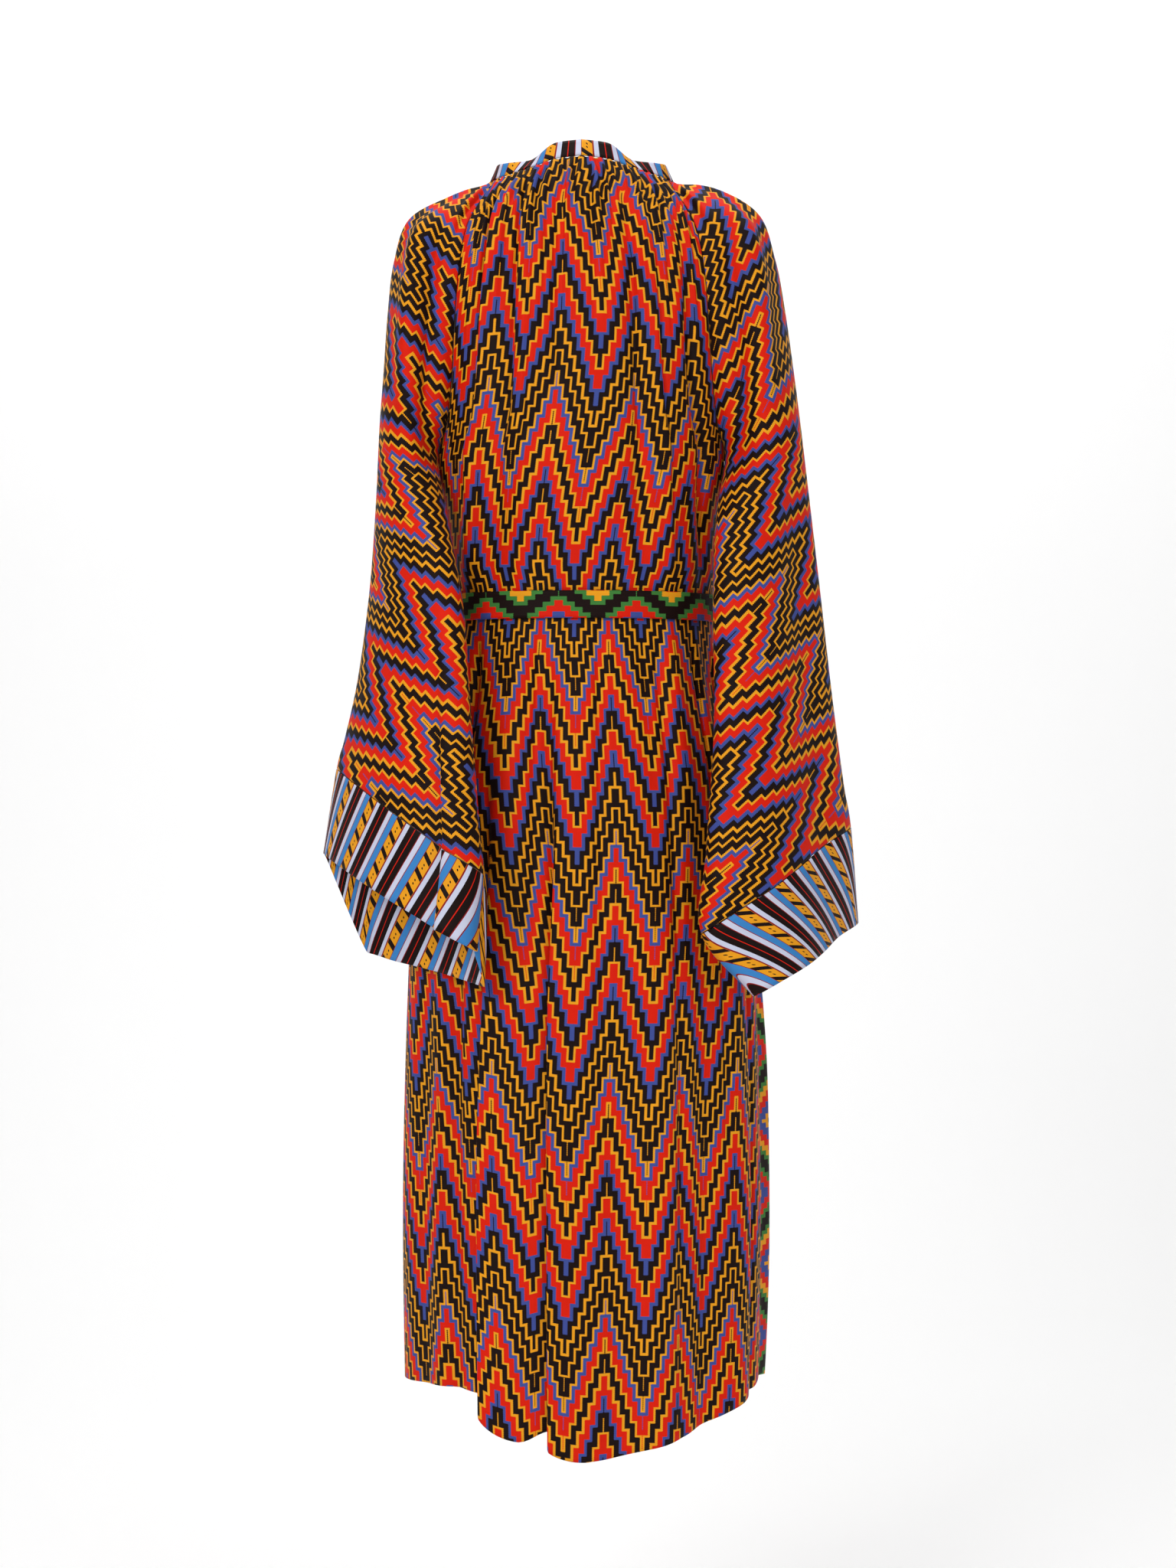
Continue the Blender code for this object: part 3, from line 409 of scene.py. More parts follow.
# %% Folds as heights over a surface
def frame_at(surface, across, down, facing):
    """A surface's points with their outward direction and their step across."""
    nudge = 1e-4
    step_across = (surface(across + nudge, down) - surface(across - nudge, down)) / (2 * nudge)
    step_down = surface(across, down + nudge) - surface(across, down - nudge)
    outward = unit(np.cross(step_down, step_across)) * facing
    return surface(across, down), outward, step_across


def fold_height(distance_at, down, folds):
    """Height of the soft folds, given a function for the distance from a fold's line."""
    height = 0.0
    for at, width, depth, top, full, fade, end in folds:
        swell = np.exp(-((distance_at(at) / width) ** 2))
        height = height + depth * swell * ease(down, top, full) * (1 - ease(down, fade, end))
    return height


def pleat_shift(distance_at, metres_across, down, pleats):
    """Height and sideways step of the doubled folds."""
    height, sideways = np.zeros_like(metres_across), np.zeros_like(metres_across)
    for at, reach, tuck, depth, side, top, full in pleats:
        grown = ease(down, top, full)
        along = distance_at(at) * metres_across
        near = np.exp(-((along / reach) ** 2))
        layer = np.tanh(2 * along / reach) * np.exp(-((along / (2 * reach)) ** 2))
        height += side * depth * grown * layer
        sideways -= tuck * grown * along * near
    return height, sideways


def gather_height(waves, row):
    """Height of the gathers, given how many waves have passed. No two are quite alike."""
    drift = 0.22 * np.sin(1.7 * waves + 0.6) + 0.15 * np.sin(0.61 * waves + 2.1)
    uneven = 0.72 + 0.28 * np.sin(2.3 * waves + 1.3)
    reach = GATHER_END_ROW * (0.72 + 0.28 * np.sin(3.7 * waves + 0.4))
    grown = ease(row, 0.0, GATHER_FULL_ROW)
    depth = GATHER_AT_BAND + (GATHER_DEPTH * uneven - GATHER_AT_BAND) * grown
    fade = 1 - ease(row / np.maximum(reach, 0.2), 0.12, 1.0)
    turn = 2 * math.pi * (waves + drift * grown)
    return depth * (np.cos(turn) + 0.28 * grown * np.cos(2 * turn)) * fade


# %% The folded surfaces
def panel_surface(face, share, row, standoff=0.0, gathered=True):
    """A point of a panel with its gathers and folds, moved outwards by the standoff."""
    share, row = np.broadcast_arrays(np.asarray(share, float), np.asarray(row, float))
    base, outward, across = frame_at(
        lambda a, d: panel_point(face, a, d), share, row, -face
    )
    metres = np.linalg.norm(across, axis=-1)
    gathers = BACK_GATHERS if face < 0 else FRONT_GATHERS
    folds = BACK_FOLDS + BACK_CREASES if face < 0 else FRONT_FOLDS + FRONT_CREASES
    height = gather_height(gathers * (share + 1) / 2, row) if gathered else 0.0
    height = height + fold_height(lambda at: share - at, row, folds)
    pleats = BACK_PLEATS if face < 0 else ()
    lift, sideways = pleat_shift(lambda at: share - at, metres, row, pleats)
    at_waist = np.exp(-(((base[..., 2] - BELT_TOP + BELT_HEIGHT / 2) / WAIST_REACH) ** 2))
    near_seam = ease(1 - np.abs(share), 0.0, 0.10)
    height = (height * (1 - WAIST_PINCH * at_waist) + lift) * near_seam
    return base + outward * (height + standoff)[..., None] + unit(across) * sideways[..., None]


def sleeve_surface(side, turn, step, gathered=True):
    """A point of a sleeve or its cuff with its gathers and folds."""
    turn, step = np.broadcast_arrays(np.asarray(turn, float), np.asarray(step, float))
    base, outward, across = frame_at(
        lambda a, d: sleeve_point(side, a, d), turn, step, side
    )
    metres = np.linalg.norm(across, axis=-1)

    def distance_at(at):
        return (turn - at + 0.5) % 1.0 - 0.5

    folds = RIGHT_SLEEVE_FOLDS if side > 0 else LEFT_SLEEVE_FOLDS
    height = gather_height(SLEEVE_GATHERS * turn, step / UNDERARM_STEP) if gathered else 0.0
    height = height + fold_height(distance_at, step, folds)
    pleats = () if side > 0 else LEFT_SLEEVE_PLEATS
    lift, sideways = pleat_shift(distance_at, metres, step, pleats)
    near_seam = ease(np.minimum(turn, 1 - turn), 0.0, 0.08)
    near_seam = near_seam + (1 - near_seam) * ease(step, UNDERARM_STEP, 8.0)
    height = (height + lift) * near_seam
    return base + outward * height[..., None] + unit(across) * sideways[..., None]


print("first doubled fold at the hem", np.round(panel_surface(-1, BACK_PLEATS[0][0], 2.0), 3))


# %% [markdown]
# ## Colours and helpers for nodes
# The cloth was printed, so its colours are flat inks with crisp edges. They are written as sRGB hex
# and turned to linear light by one function, because the shader works in linear light. One helper
# adds a node with its settings and links, and another starts a material with its constants.

# %% Inks
def ink(hex_colour):
    """A linear colour from sRGB hex."""
    parts = [int(hex_colour[i:i + 2], 16) / 255 for i in (1, 3, 5)]
    linear = [p / 12.92 if p <= 0.04045 else ((p + 0.055) / 1.055) ** 2.4 for p in parts]
    return (*linear, 1.0)


INKS = {
    "red": ink("#D61C02"),
    "yellow": ink("#E69A1A"),
    "black": ink("#160705"),
    "blue": ink("#3D4C92"),
    "green": ink("#3C7A36"),
    "sky": ink("#3A80C0"),
    "lilac": ink("#C6CADF"),
    "wine": ink("#8A1A1E"),
}
print("inks", len(INKS))


# %% Helpers for nodes and materials
def add_node(tree, kind, links, **settings):
    """Add one node. Links give its inputs by place or name: a value, a socket or a node."""
    node = tree.nodes.new(kind)
    for name, value in settings.items():
        setattr(node, name, value)
    for key, value in links.items():
        if isinstance(value, bpy.types.Node):
            value = value.outputs[0]
        if isinstance(value, bpy.types.NodeSocket):
            tree.links.new(value, node.inputs[key])
        else:
            node.inputs[key].default_value = value
    return node


def new_finish(name, settings):
    """A new material and its shader, with constants on the shader's own sockets."""
    made = bpy.data.materials.new(name)
    made.use_nodes = True
    shader = made.node_tree.nodes["Principled BSDF"]
    for socket, value in settings.items():
        shader.inputs[socket].default_value = value
    return made, shader


def work_out(tree, known, lines):
    """Lines of arithmetic as nodes: name, operation and up to three names or numbers."""
    for name, operation, *terms in lines:
        links = {i: known.get(term, term) for i, term in enumerate(terms)}
        known[name] = add_node(tree, "ShaderNodeMath", links, operation=operation)
    return known


def stepped_ramp(tree, position, stops):
    """A ramp that jumps from one colour to the next at each stop."""
    ramp = add_node(tree, "ShaderNodeValToRGB", {0: position})
    ramp.color_ramp.interpolation = "CONSTANT"
    while len(ramp.color_ramp.elements) < len(stops):
        ramp.color_ramp.elements.new(1.0)
    for element, (at, colour) in zip(ramp.color_ramp.elements, stops):
        element.position = at
        element.color = colour
    return ramp


# %% [markdown]
# ## Nested stepped lines
# Both prints are drawn like old counted embroidery. A line climbs in equal steps, and the next line
# lies inside it, shifted sideways and down by the line's own thickness, so every line is as thick
# in its upright parts as in its level ones. An edge shifted that way is the same staircase begun a
# little later and lowered a little more. So the edges fall into a few groups that begin together,
# and the colour at a point comes from how many edges of all groups lie above it.

# %% Stepped lines as nodes
SHARES = 8


def repeat_height(lines, step, rise):
    """How far down the lines begin again, in metres."""
    return sum(thick for _, thick in lines) / SHARES * (step + rise)


def stepped_lines(tree, across, v, lines, step, rise):
    """The colour at a distance across from a valley and v up, both in metres.

    Lines are colours from the top down, each with its thickness in eighths of a step's width. Their
    thicknesses come to a whole number of steps, after which the lines repeat.
    """
    repeat = repeat_height(lines, step, rise)
    groups, above = {}, 0
    for _, thick in lines:
        lowered = math.ceil(above / SHARES - 0.5)
        begins = SHARES // 2 - above + lowered * SHARES
        edge = (above / SHARES * step + lowered * rise) / repeat
        groups.setdefault(begins, []).append(edge)
        above += thick
    known = work_out(tree, {"across": across, "v": v}, (
        ("steps", "DIVIDE", "across", step), ("count", "ADD", 0.0, -0.5),
    ))
    for begins, edges in sorted(groups.items()):
        known = work_out(tree, known, (
            ("begun", "ADD", "steps", begins / SHARES),
            ("step", "FLOOR", "begun"),
            ("height", "MULTIPLY", "step", rise),
            ("depth", "SUBTRACT", "height", "v"),
            ("repeats", "DIVIDE", "depth", repeat),
            ("whole", "FLOOR", "repeats"),
            ("part", "FRACT", "repeats"),
            ("count", "MULTIPLY_ADD", "whole", float(len(edges)), "count"),
        ))
        for edge in edges:
            known = work_out(tree, known, (
                ("passed", "GREATER_THAN", "part", edge), ("count", "ADD", "count", "passed"),
            ))
    known = work_out(tree, known, (
        ("place", "DIVIDE", "count", float(len(lines))), ("line", "FRACT", "place"),
    ))
    stops = [(i / len(lines), INKS[name]) for i, (name, _) in enumerate(lines)]
    return stepped_ramp(tree, known["line"], stops)


# %% [markdown]
# ## The flame-stitch print
# Flame stitch is an old embroidery pattern: lines of colour climb in steps to a point and fall
# again, one below the other. Here it is printed. The cloth's width is folded at every point and
# valley, and small teeth, like the ends of stitches, are bitten into the upright edges. A picture
# of it could be laid on instead, but arithmetic keeps each edge sharp at any distance, and every
# size and colour can be changed by its name.

# %% The flame print, sizes in metres
FLAME_WIDTH = 0.0825
FLAME_CLIMB = 0.1062
FLAME_STEP = 0.00548
FLAME_RISE = FLAME_STEP * FLAME_CLIMB / (FLAME_WIDTH / 2)
TOOTH = 0.0020
TOOTH_BITE = 0.75
FLAME_LINES = (
    ("blue", 5), ("red", 8), ("yellow", 3), ("black", 8), ("yellow", 4), ("red", 8), ("blue", 4),
    ("black", 8), ("yellow", 3), ("red", 8), ("blue", 5), ("black", 7), ("yellow", 4), ("black", 7),
    ("yellow", 3), ("black", 8), ("yellow", 3),
)


def flame_print(tree, u, v):
    """The colour of the flame print at u across and v up, both in metres."""
    known = work_out(tree, {"u": u, "v": v}, (
        ("tooth", "PINGPONG", "v", TOOTH / 2),
        ("fold", "PINGPONG", "u", FLAME_WIDTH / 2),
        ("across", "MULTIPLY_ADD", "tooth", TOOTH_BITE, "fold"),
    ))
    return stepped_lines(tree, known["across"], v, FLAME_LINES, FLAME_STEP, FLAME_RISE)


print("flame repeat", round(repeat_height(FLAME_LINES, FLAME_STEP, FLAME_RISE), 4), "m high")


# %% [markdown]
# ## The stepped diamonds
# The front and the belt are cut from a second print with wider, lower steps and green added. Folded
# in height as well as in width, the same stepped lines close into nested diamonds, so it needs no
# other method.

# %% The diamond print, sizes in metres
DIAMOND_WIDTH = 0.080
DIAMOND_HEIGHT = 0.150
DIAMOND_STEP = 0.0080
DIAMOND_RISE = 0.0056
DIAMOND_LINES = (
    ("red", 6), ("blue", 7), ("yellow", 4), ("black", 8), ("yellow", 5), ("blue", 7), ("red", 6),
    ("yellow", 5), ("green", 4), ("black", 8), ("green", 4),
)


def diamond_print(tree, u, v):
    """The colour of the diamond print at u across and v up, both in metres."""
    known = work_out(tree, {"u": u, "v": v}, (
        ("tooth", "PINGPONG", "v", TOOTH / 2),
        ("fold", "PINGPONG", "u", DIAMOND_WIDTH / 2),
        ("across", "MULTIPLY_ADD", "tooth", TOOTH_BITE, "fold"),
        ("up", "PINGPONG", "v", DIAMOND_HEIGHT / 2),
    ))
    return stepped_lines(
        tree, known["across"], known["up"], DIAMOND_LINES, DIAMOND_STEP, DIAMOND_RISE
    )


print("diamond", DIAMOND_WIDTH, "m wide", DIAMOND_HEIGHT, "m high")


# %% [markdown]
# ## The striped trim
# The neckband and cuffs are cut from a woven-look stripe, with the stripes square to the seam. One
# stripe is a chain of yellow cells, parted by slanting black bars and marked with two small dots.
# Each stripe is given its real width in millimetres and laid off along the band, so that the trim
# comes out right on a band of any length.

# %% The stripe print as nodes
STRIPES = (
    ("yellow", 11.0), ("wine", 1.7), ("lilac", 5.0), ("black", 6.5), ("red", 0.9),
    ("black", 6.5), ("wine", 0.9), ("lilac", 5.5), ("wine", 0.9), ("sky", 7.0), ("wine", 0.9),
)
STRIPE_REPEAT = sum(width for _, width in STRIPES) / 1000
CELL = 0.0190
BAR = 0.30
BAR_SLANT = 0.7
DOT_PITCH = 0.0042
DOT_RADIUS = 0.0010


def stripe_print(tree, u, v):
    """The colour of the striped trim at u along the band and v across it, in metres."""
    stops, depth = [], 0.0
    for name, width in STRIPES:
        stops.append((depth / 1000 / STRIPE_REPEAT, INKS[name]))
        depth += width
    chain = STRIPES[0][1] / 1000
    known = work_out(tree, {"u": u, "v": v}, (
        ("repeats", "DIVIDE", "u", STRIPE_REPEAT),
        ("part", "FRACT", "repeats"),
        ("along", "MULTIPLY", "part", STRIPE_REPEAT),
        ("middle", "SUBTRACT", "along", chain / 2),
        ("on_chain", "LESS_THAN", "along", chain),
        ("slant", "MULTIPLY_ADD", "middle", BAR_SLANT, "v"),
        ("cells", "DIVIDE", "slant", CELL),
        ("cell", "FRACT", "cells"),
        ("in_bar", "LESS_THAN", "cell", BAR),
        ("level", "SUBTRACT", "cell", (1 + BAR) / 2),
        ("up", "MULTIPLY", "level", CELL),
        ("off", "ABSOLUTE", "up"),
        ("from_dot", "SUBTRACT", "off", DOT_PITCH / 2),
        ("side_square", "MULTIPLY", "middle", "middle"),
        ("far_square", "MULTIPLY_ADD", "from_dot", "from_dot", "side_square"),
        ("in_dot", "LESS_THAN", "far_square", DOT_RADIUS ** 2),
        ("dark", "MAXIMUM", "in_bar", "in_dot"),
        ("marked", "MULTIPLY", "dark", "on_chain"),
    ))
    stripes = stepped_ramp(tree, known["part"], stops)
    return add_node(
        tree, "ShaderNodeMix", {0: known["marked"], 6: stripes, 7: INKS["black"]}, data_type="RGBA"
    ).outputs[2]


print("stripes repeat every", round(STRIPE_REPEAT, 4), "m")


# %% [markdown]
# ## The cloth itself
# The base is a light, smooth, plain-woven viscose: a soft sheen, no shine, and a weave so fine that
# it only breaks up the light. The real threads are about 0.25 mm apart, too fine for the picture,
# so the weave here is drawn at 0.8 mm. Printed cloth is paler on its back, so each cloth has a
# second material for the side that faces in. The cuffs are doubled, so inside they show the same
# stripes turned end for end.

# %% Making a cloth material
WEAVE = 0.0008
PALE_SIDE = ink("#B9A78F")


def cloth(name, print_nodes, offset_u=0.0, offset_v=0.0, roughness=0.62, pale=0.0, up=1.0):
    """A printed cloth, its print read from the piece's own UV map in metres."""
    made, shader = new_finish(name, {
        "Roughness": roughness, "IOR": 1.46, "Specular IOR Level": 0.12, "Sheen Weight": 0.02,
        "Sheen Roughness": 0.45,
    })
    tree = made.node_tree
    threads = add_node(tree, "ShaderNodeUVMap", {}, uv_map="thread")
    shifted = add_node(
        tree, "ShaderNodeMapping", {0: threads, 1: (offset_u, offset_v, 0.0), 3: (1.0, up, 1.0)}
    )
    parts = add_node(tree, "ShaderNodeSeparateXYZ", {0: shifted})
    printed = print_nodes(tree, parts.outputs[0], parts.outputs[1])

    # Slight cloudiness, so that the ink isn't dead flat
    cloud = add_node(tree, "ShaderNodeTexNoise", {"Vector": threads, "Scale": 60.0, "Detail": 3.0})
    shade = add_node(tree, "ShaderNodeMapRange", {0: cloud, 3: 0.90, 4: 1.06})
    tinted = add_node(
        tree, "ShaderNodeMix", {0: 1.0, 6: printed, 7: shade}, data_type="RGBA", blend_type="MULTIPLY"
    )
    faded = add_node(
        tree, "ShaderNodeMix", {0: pale, 6: tinted.outputs[2], 7: PALE_SIDE}, data_type="RGBA"
    )
    tree.links.new(faded.outputs[2], shader.inputs["Base Color"])

    # Plain weave: threads over and under each other, both ways
    known = work_out(tree, {"u": parts.outputs[0], "v": parts.outputs[1]}, (
        ("warp_turn", "MULTIPLY", "u", 2 * math.pi / WEAVE),
        ("weft_turn", "MULTIPLY", "v", 2 * math.pi / WEAVE),
        ("warp", "SINE", "warp_turn"),
        ("weft", "SINE", "weft_turn"),
        ("weave", "MULTIPLY", "warp", "weft"),
    ))
    bump = add_node(
        tree, "ShaderNodeBump", {"Height": known["weave"], "Strength": 0.12, "Distance": 0.0002}
    )
    tree.links.new(bump.outputs[0], shader.inputs["Normal"])
    print(name, len(tree.nodes), "nodes")
    return made


# %% [markdown]
# ## From a grid of points to a piece
# Each piece is a grid of points and a grid of thread positions. The sheet gets a little thickness
# from a Solidify modifier, half on each side, so its edges look cut and turned. Its faces wind so
# that the outer side is the front.

# %% Laying cloth out
def add_object(name, data):
    """A new object at the origin, in the scene."""
    made = bpy.data.objects.new(name, data)
    bpy.context.scene.collection.objects.link(made)
    return made


def along_rows(points):
    """The length along each row of a grid, from its first point."""
    steps = np.linalg.norm(np.diff(points, axis=1), axis=2)
    return np.concatenate([np.zeros((len(points), 1)), np.cumsum(steps, axis=1)], axis=1)


def add_sheet(name, points, threads, thickness, finish, joined_from=None, flip=False, inside=None):
    """A sheet object, with its threads' places in its UV map."""
    rows, columns = points.shape[:2]
    faces, corners = [], []
    for row in range(rows - 1):
        for column in range(columns - 1):
            grid = [(row, column), (row + 1, column), (row + 1, column + 1), (row, column + 1)]
            grid = grid[::-1] if flip else grid
            corners.extend(grid)
            joined = [joined_from is not None and r >= joined_from and c == columns - 1 for r, c in grid]
            faces.append([r * columns + (0 if end else c) for (r, c), end in zip(grid, joined)])
    used = sorted({index for face in faces for index in face})
    place = {index: i for i, index in enumerate(used)}
    flat_points = points.reshape(-1, 3)
    mesh = bpy.data.meshes.new(name)
    mesh.from_pydata([tuple(flat_points[i]) for i in used], [], [[place[i] for i in f] for f in faces])
    layer = mesh.uv_layers.new(name="thread")
    uv = np.array([threads[corner] for corner in corners], dtype=np.float32)
    layer.data.foreach_set("uv", uv.ravel())
    mesh.shade_smooth()
    mesh.materials.append(finish)
    mesh.materials.append(inside or finish)
    made = add_object(name, mesh)
    solid = made.modifiers.new("cloth thickness", "SOLIDIFY")
    solid.material_offset = 1
    solid.thickness = thickness
    solid.offset = 0.0
    solid.use_rim = True
    solid.use_quality_normals = True
    print(name, rows, "x", columns, "points")
    return made


def area_of(points):
    """The area of a grid in square metres."""
    a, b = points[1:, 1:] - points[:-1, :-1], points[1:, :-1] - points[:-1, 1:]
    return float(np.linalg.norm(np.cross(a, b), axis=-1).sum() / 2)


# %% Keeping clear of the seams
SHEET = 0.0009
SEAM_GAP = 0.0007
NECK_GAP = 0.0010


def seam_clearance(seam, own, other, wall, gap=SEAM_GAP):
    """How far a sheet stops short of its seam, so that the walls on both sides stay clear."""
    along = unit(np.gradient(seam, axis=0))
    own_square = unit(own) - np.sum(unit(own) * along, axis=-1)[..., None] * along
    other_square = unit(other) - np.sum(unit(other) * along, axis=-1)[..., None] * along
    cosine = np.sum(unit(own_square) * unit(other_square), axis=-1)
    half = np.arccos(np.clip(cosine, -1.0, 0.97)) / 2
    square_to_seam = np.linalg.norm(own_square, axis=-1)
    return (gap + wall * np.cos(half)) / (2 * np.sin(half) * square_to_seam)


def pull_in(grid, edge, inner, distance):
    """Move one line of points of a grid towards the line beside it."""
    grid[edge] += unit(grid[inner] - grid[edge]) * np.asarray(distance)[..., None]


# %% [markdown]
# ## The panels and sleeves
# The four big pieces meet at the raglan seams and the side seams, so they are worked out together
# and each stops a hair short of its seams. The panels' threads run straight down: across, a thread's
# place is the length along the row, drawn up by the gathers above and by the belt, and down it is
# the length along the column.

# %% Rows and columns of the fine sheets
BACK_COLUMNS = 228
FRONT_COLUMNS = 180
SLEEVE_COLUMNS = 132
PANEL_ROWS = np.concatenate([np.linspace(0.0, 1.0, 71), np.linspace(1.0, 2.0, 141)[1:]])
CAP_ROWS = 71
SLEEVE_STEPS = np.concatenate([
    PANEL_ROWS[:CAP_ROWS] * UNDERARM_STEP, np.linspace(UNDERARM_STEP, CUFF_STEP, 81)[1:],
])
CUFF_STEPS = np.linspace(CUFF_STEP, 12.0, 15)

# How far the gathers and the belt draw the cloth in, and how far it slides over above the belt
# and beyond each doubled fold
DRAWN_IN = {
    "row": (0.0, 0.12, 0.30, 0.55, 1.00, 1.12, 1.147, 1.177, 1.22, 1.35, 2.0),
    "factor": (1.50, 1.30, 1.12, 1.00, 1.00, 1.10, 1.20, 1.20, 1.12, 1.00, 1.00),
}
SLIDE = -0.030
SLIDE_HEIGHTS = (-0.43, -0.10)
PLEAT_SLIDE = {
    "share": (-0.41, -0.34, -0.14, -0.07, 0.30, 0.65, 1.0),
    "metres": (0.0, -0.039, -0.039, -0.0367, -0.0357, -0.0249, -0.020),
}
PLEAT_SLIDE_GROWS = {"row": (1.22, 1.42, 1.60, 2.0), "factor": (0.0, 0.30, 0.74, 1.0)}


def panel_threads(face, rows, columns):
    """Where the threads of a panel lie: metres across from its middle and metres up."""
    share = np.linspace(-1.0, 1.0, columns + 1)
    smooth = along_rows(panel_surface(face, share[None, :], rows[:, None], gathered=False))
    across = along_rows(panel_surface(face, share[None, :], rows[:, None]))
    drawn = read(DRAWN_IN, "row", "factor", rows) * smooth[:, -1] / across[:, -1]
    across = (across - across[:, -1:] / 2) * drawn[:, None]
    down = along_rows(np.swapaxes(panel_point(face, share[None, :], rows[:, None]), 0, 1)).T
    belt = int(np.argmin(np.abs(rows - row_at(BELT_TOP))))
    up = BELT_TOP - (down - down[belt][None, :])
    if face < 0:
        across = across + SLIDE * ease(up, *SLIDE_HEIGHTS)
        grows = read(PLEAT_SLIDE_GROWS, "row", "factor", rows)
        across = across + grows[:, None] * read(PLEAT_SLIDE, "share", "metres", share)[None, :]
    return np.stack([across, up], axis=-1)


# %% Working out the four big sheets
back_share = np.linspace(-1.0, 1.0, BACK_COLUMNS + 1)
front_share = np.linspace(-1.0, 1.0, FRONT_COLUMNS + 1)
sleeve_turn = np.linspace(0.0, 1.0, SLEEVE_COLUMNS + 1)
back = panel_surface(-1, back_share[None, :], PANEL_ROWS[:, None])
front = panel_surface(1, front_share[None, :], PANEL_ROWS[:, None])
left = sleeve_surface(-1, sleeve_turn[None, :], SLEEVE_STEPS[:, None])
right = sleeve_surface(1, sleeve_turn[None, :], SLEEVE_STEPS[:, None])
print("back", round(area_of(back), 3), "front", round(area_of(front), 3), "m2")
print("left sleeve", round(area_of(left), 3), "right sleeve", round(area_of(right), 3), "m2")

first, last = (0, 2), (-1, -3)
cap, side = slice(0, CAP_ROWS), slice(CAP_ROWS, None)
SEAMS = (
    (back, first, left, first, cap), (back, last, right, first, cap),
    (front, first, left, last, cap), (front, last, right, last, cap),
    (back, first, front, first, side), (back, last, front, last, side),
)
pulls = []
for one, one_edge, other, other_edge, rows in SEAMS:
    seam = one[rows, one_edge[0]]
    one_way, other_way = one[rows, one_edge[1]] - seam, other[rows, other_edge[1]] - seam
    pulls.append((one, one_edge, rows, seam_clearance(seam, one_way, other_way, SHEET)))
    pulls.append((other, other_edge, rows, seam_clearance(seam, other_way, one_way, SHEET)))
for grid, edge, rows, clear in pulls:
    pull_in(grid, np.s_[rows, edge[0]], np.s_[rows, edge[1]], clear)

NECK_WALLS = SHEET / 2 + GATHER_AT_BAND + 0.0011
for grid, angle in (
    (back, neck_angle(-1, back_share)), (front, neck_angle(1, front_share)),
    (left, -np.linspace(BACK_CORNER_DEG, FRONT_CORNER_DEG, SLEEVE_COLUMNS + 1)),
    (right, np.linspace(BACK_CORNER_DEG, FRONT_CORNER_DEG, SLEEVE_COLUMNS + 1)),
):
    below, above = grid[2] - grid[0], band_rise(angle)
    clear = seam_clearance(neck_point(angle), below, above, NECK_WALLS, NECK_GAP)
    pull_in(grid, np.s_[0], np.s_[2], clear)

# %% [markdown]
# A sleeve was cut at a slant, so on it the print's points lean. On the right sleeve they run up and
# outwards, and on the left one down and inwards. The lean is measured from the sleeve's rings at a
# few places, and the threads are laid out from a line down the middle of the back of the sleeve.

# %% Laying the threads of a sleeve
THREAD_LINE_TURN = 0.22
LEAN = {
    "step": (0.0, 3.0, 6.0, 8.0, 9.0, 10.0, 11.0, 12.0),
    "right_deg": (25, 28, 34, 36, 31, 17, 5, 2),
    "left_deg": (15, 18, 20, 33, 24, 15, 9, 9),
}


def sleeve_threads(side, steps, columns):
    """Where the threads of a sleeve lie, in metres."""
    turn = np.linspace(0.0, 1.0, columns + 1)
    steps = np.asarray(steps, float)
    smooth = sleeve_surface(side, turn[None, :], steps[:, None], gathered=False)
    line = int(round(THREAD_LINE_TURN * columns))
    around = along_rows(smooth)
    around = side * (around - around[:, line][:, None])

    down = np.gradient(smooth[:, line], axis=0)
    ring_way = side * (smooth[:, line + 1] - smooth[:, line - 1])
    corner = np.arccos(np.clip(np.sum(unit(down) * unit(ring_way), axis=-1), -1.0, 1.0))
    lean = np.radians(read(LEAN, "step", "right_deg" if side > 0 else "left_deg", steps))
    ring_angle = math.pi / 2 - side * lean
    down_angle = ring_angle - corner
    step_length = np.linalg.norm(np.diff(smooth[:, line], axis=0), axis=-1)
    middle_angle = (down_angle[1:] + down_angle[:-1]) / 2
    moves = step_length[:, None] * np.stack([np.cos(middle_angle), np.sin(middle_angle)], axis=-1)
    middle = np.concatenate([np.zeros((1, 2)), np.cumsum(moves, axis=0)])
    ring = np.stack([np.cos(ring_angle), np.sin(ring_angle)], axis=-1)
    return middle[:, None, :] + around[..., None] * ring[:, None, :]


left_threads = sleeve_threads(-1, SLEEVE_STEPS, SLEEVE_COLUMNS)
right_threads = sleeve_threads(1, SLEEVE_STEPS, SLEEVE_COLUMNS)
print("right sleeve threads", np.round(np.ptp(right_threads.reshape(-1, 2), axis=0), 3), "m")
print("left sleeve threads", np.round(np.ptp(left_threads.reshape(-1, 2), axis=0), 3), "m")

# %% Sewing in the four big sheets
FLAME_AT = (0.0087, 0.780)
DIAMONDS_AT = (0.0, 0.45)
PALE = 0.4
flame_back = cloth("printed viscose, flame stitch, back panel", flame_print, *FLAME_AT)
flame = cloth("printed viscose, flame stitch", flame_print)
flame_inside = cloth("printed viscose, flame stitch, inside", flame_print, *FLAME_AT, pale=PALE)
diamonds = cloth("printed viscose, stepped diamonds", diamond_print, *DIAMONDS_AT)
diamonds_inside = cloth(
    "printed viscose, stepped diamonds, inside", diamond_print, *DIAMONDS_AT, pale=PALE
)

back_sheet = add_sheet(
    "back_cloth", back, panel_threads(-1, PANEL_ROWS, BACK_COLUMNS), SHEET, flame_back,
    inside=flame_inside,
)
front_sheet = add_sheet(
    "front_cloth", front, panel_threads(1, PANEL_ROWS, FRONT_COLUMNS), SHEET, diamonds, flip=True,
    inside=diamonds_inside,
)

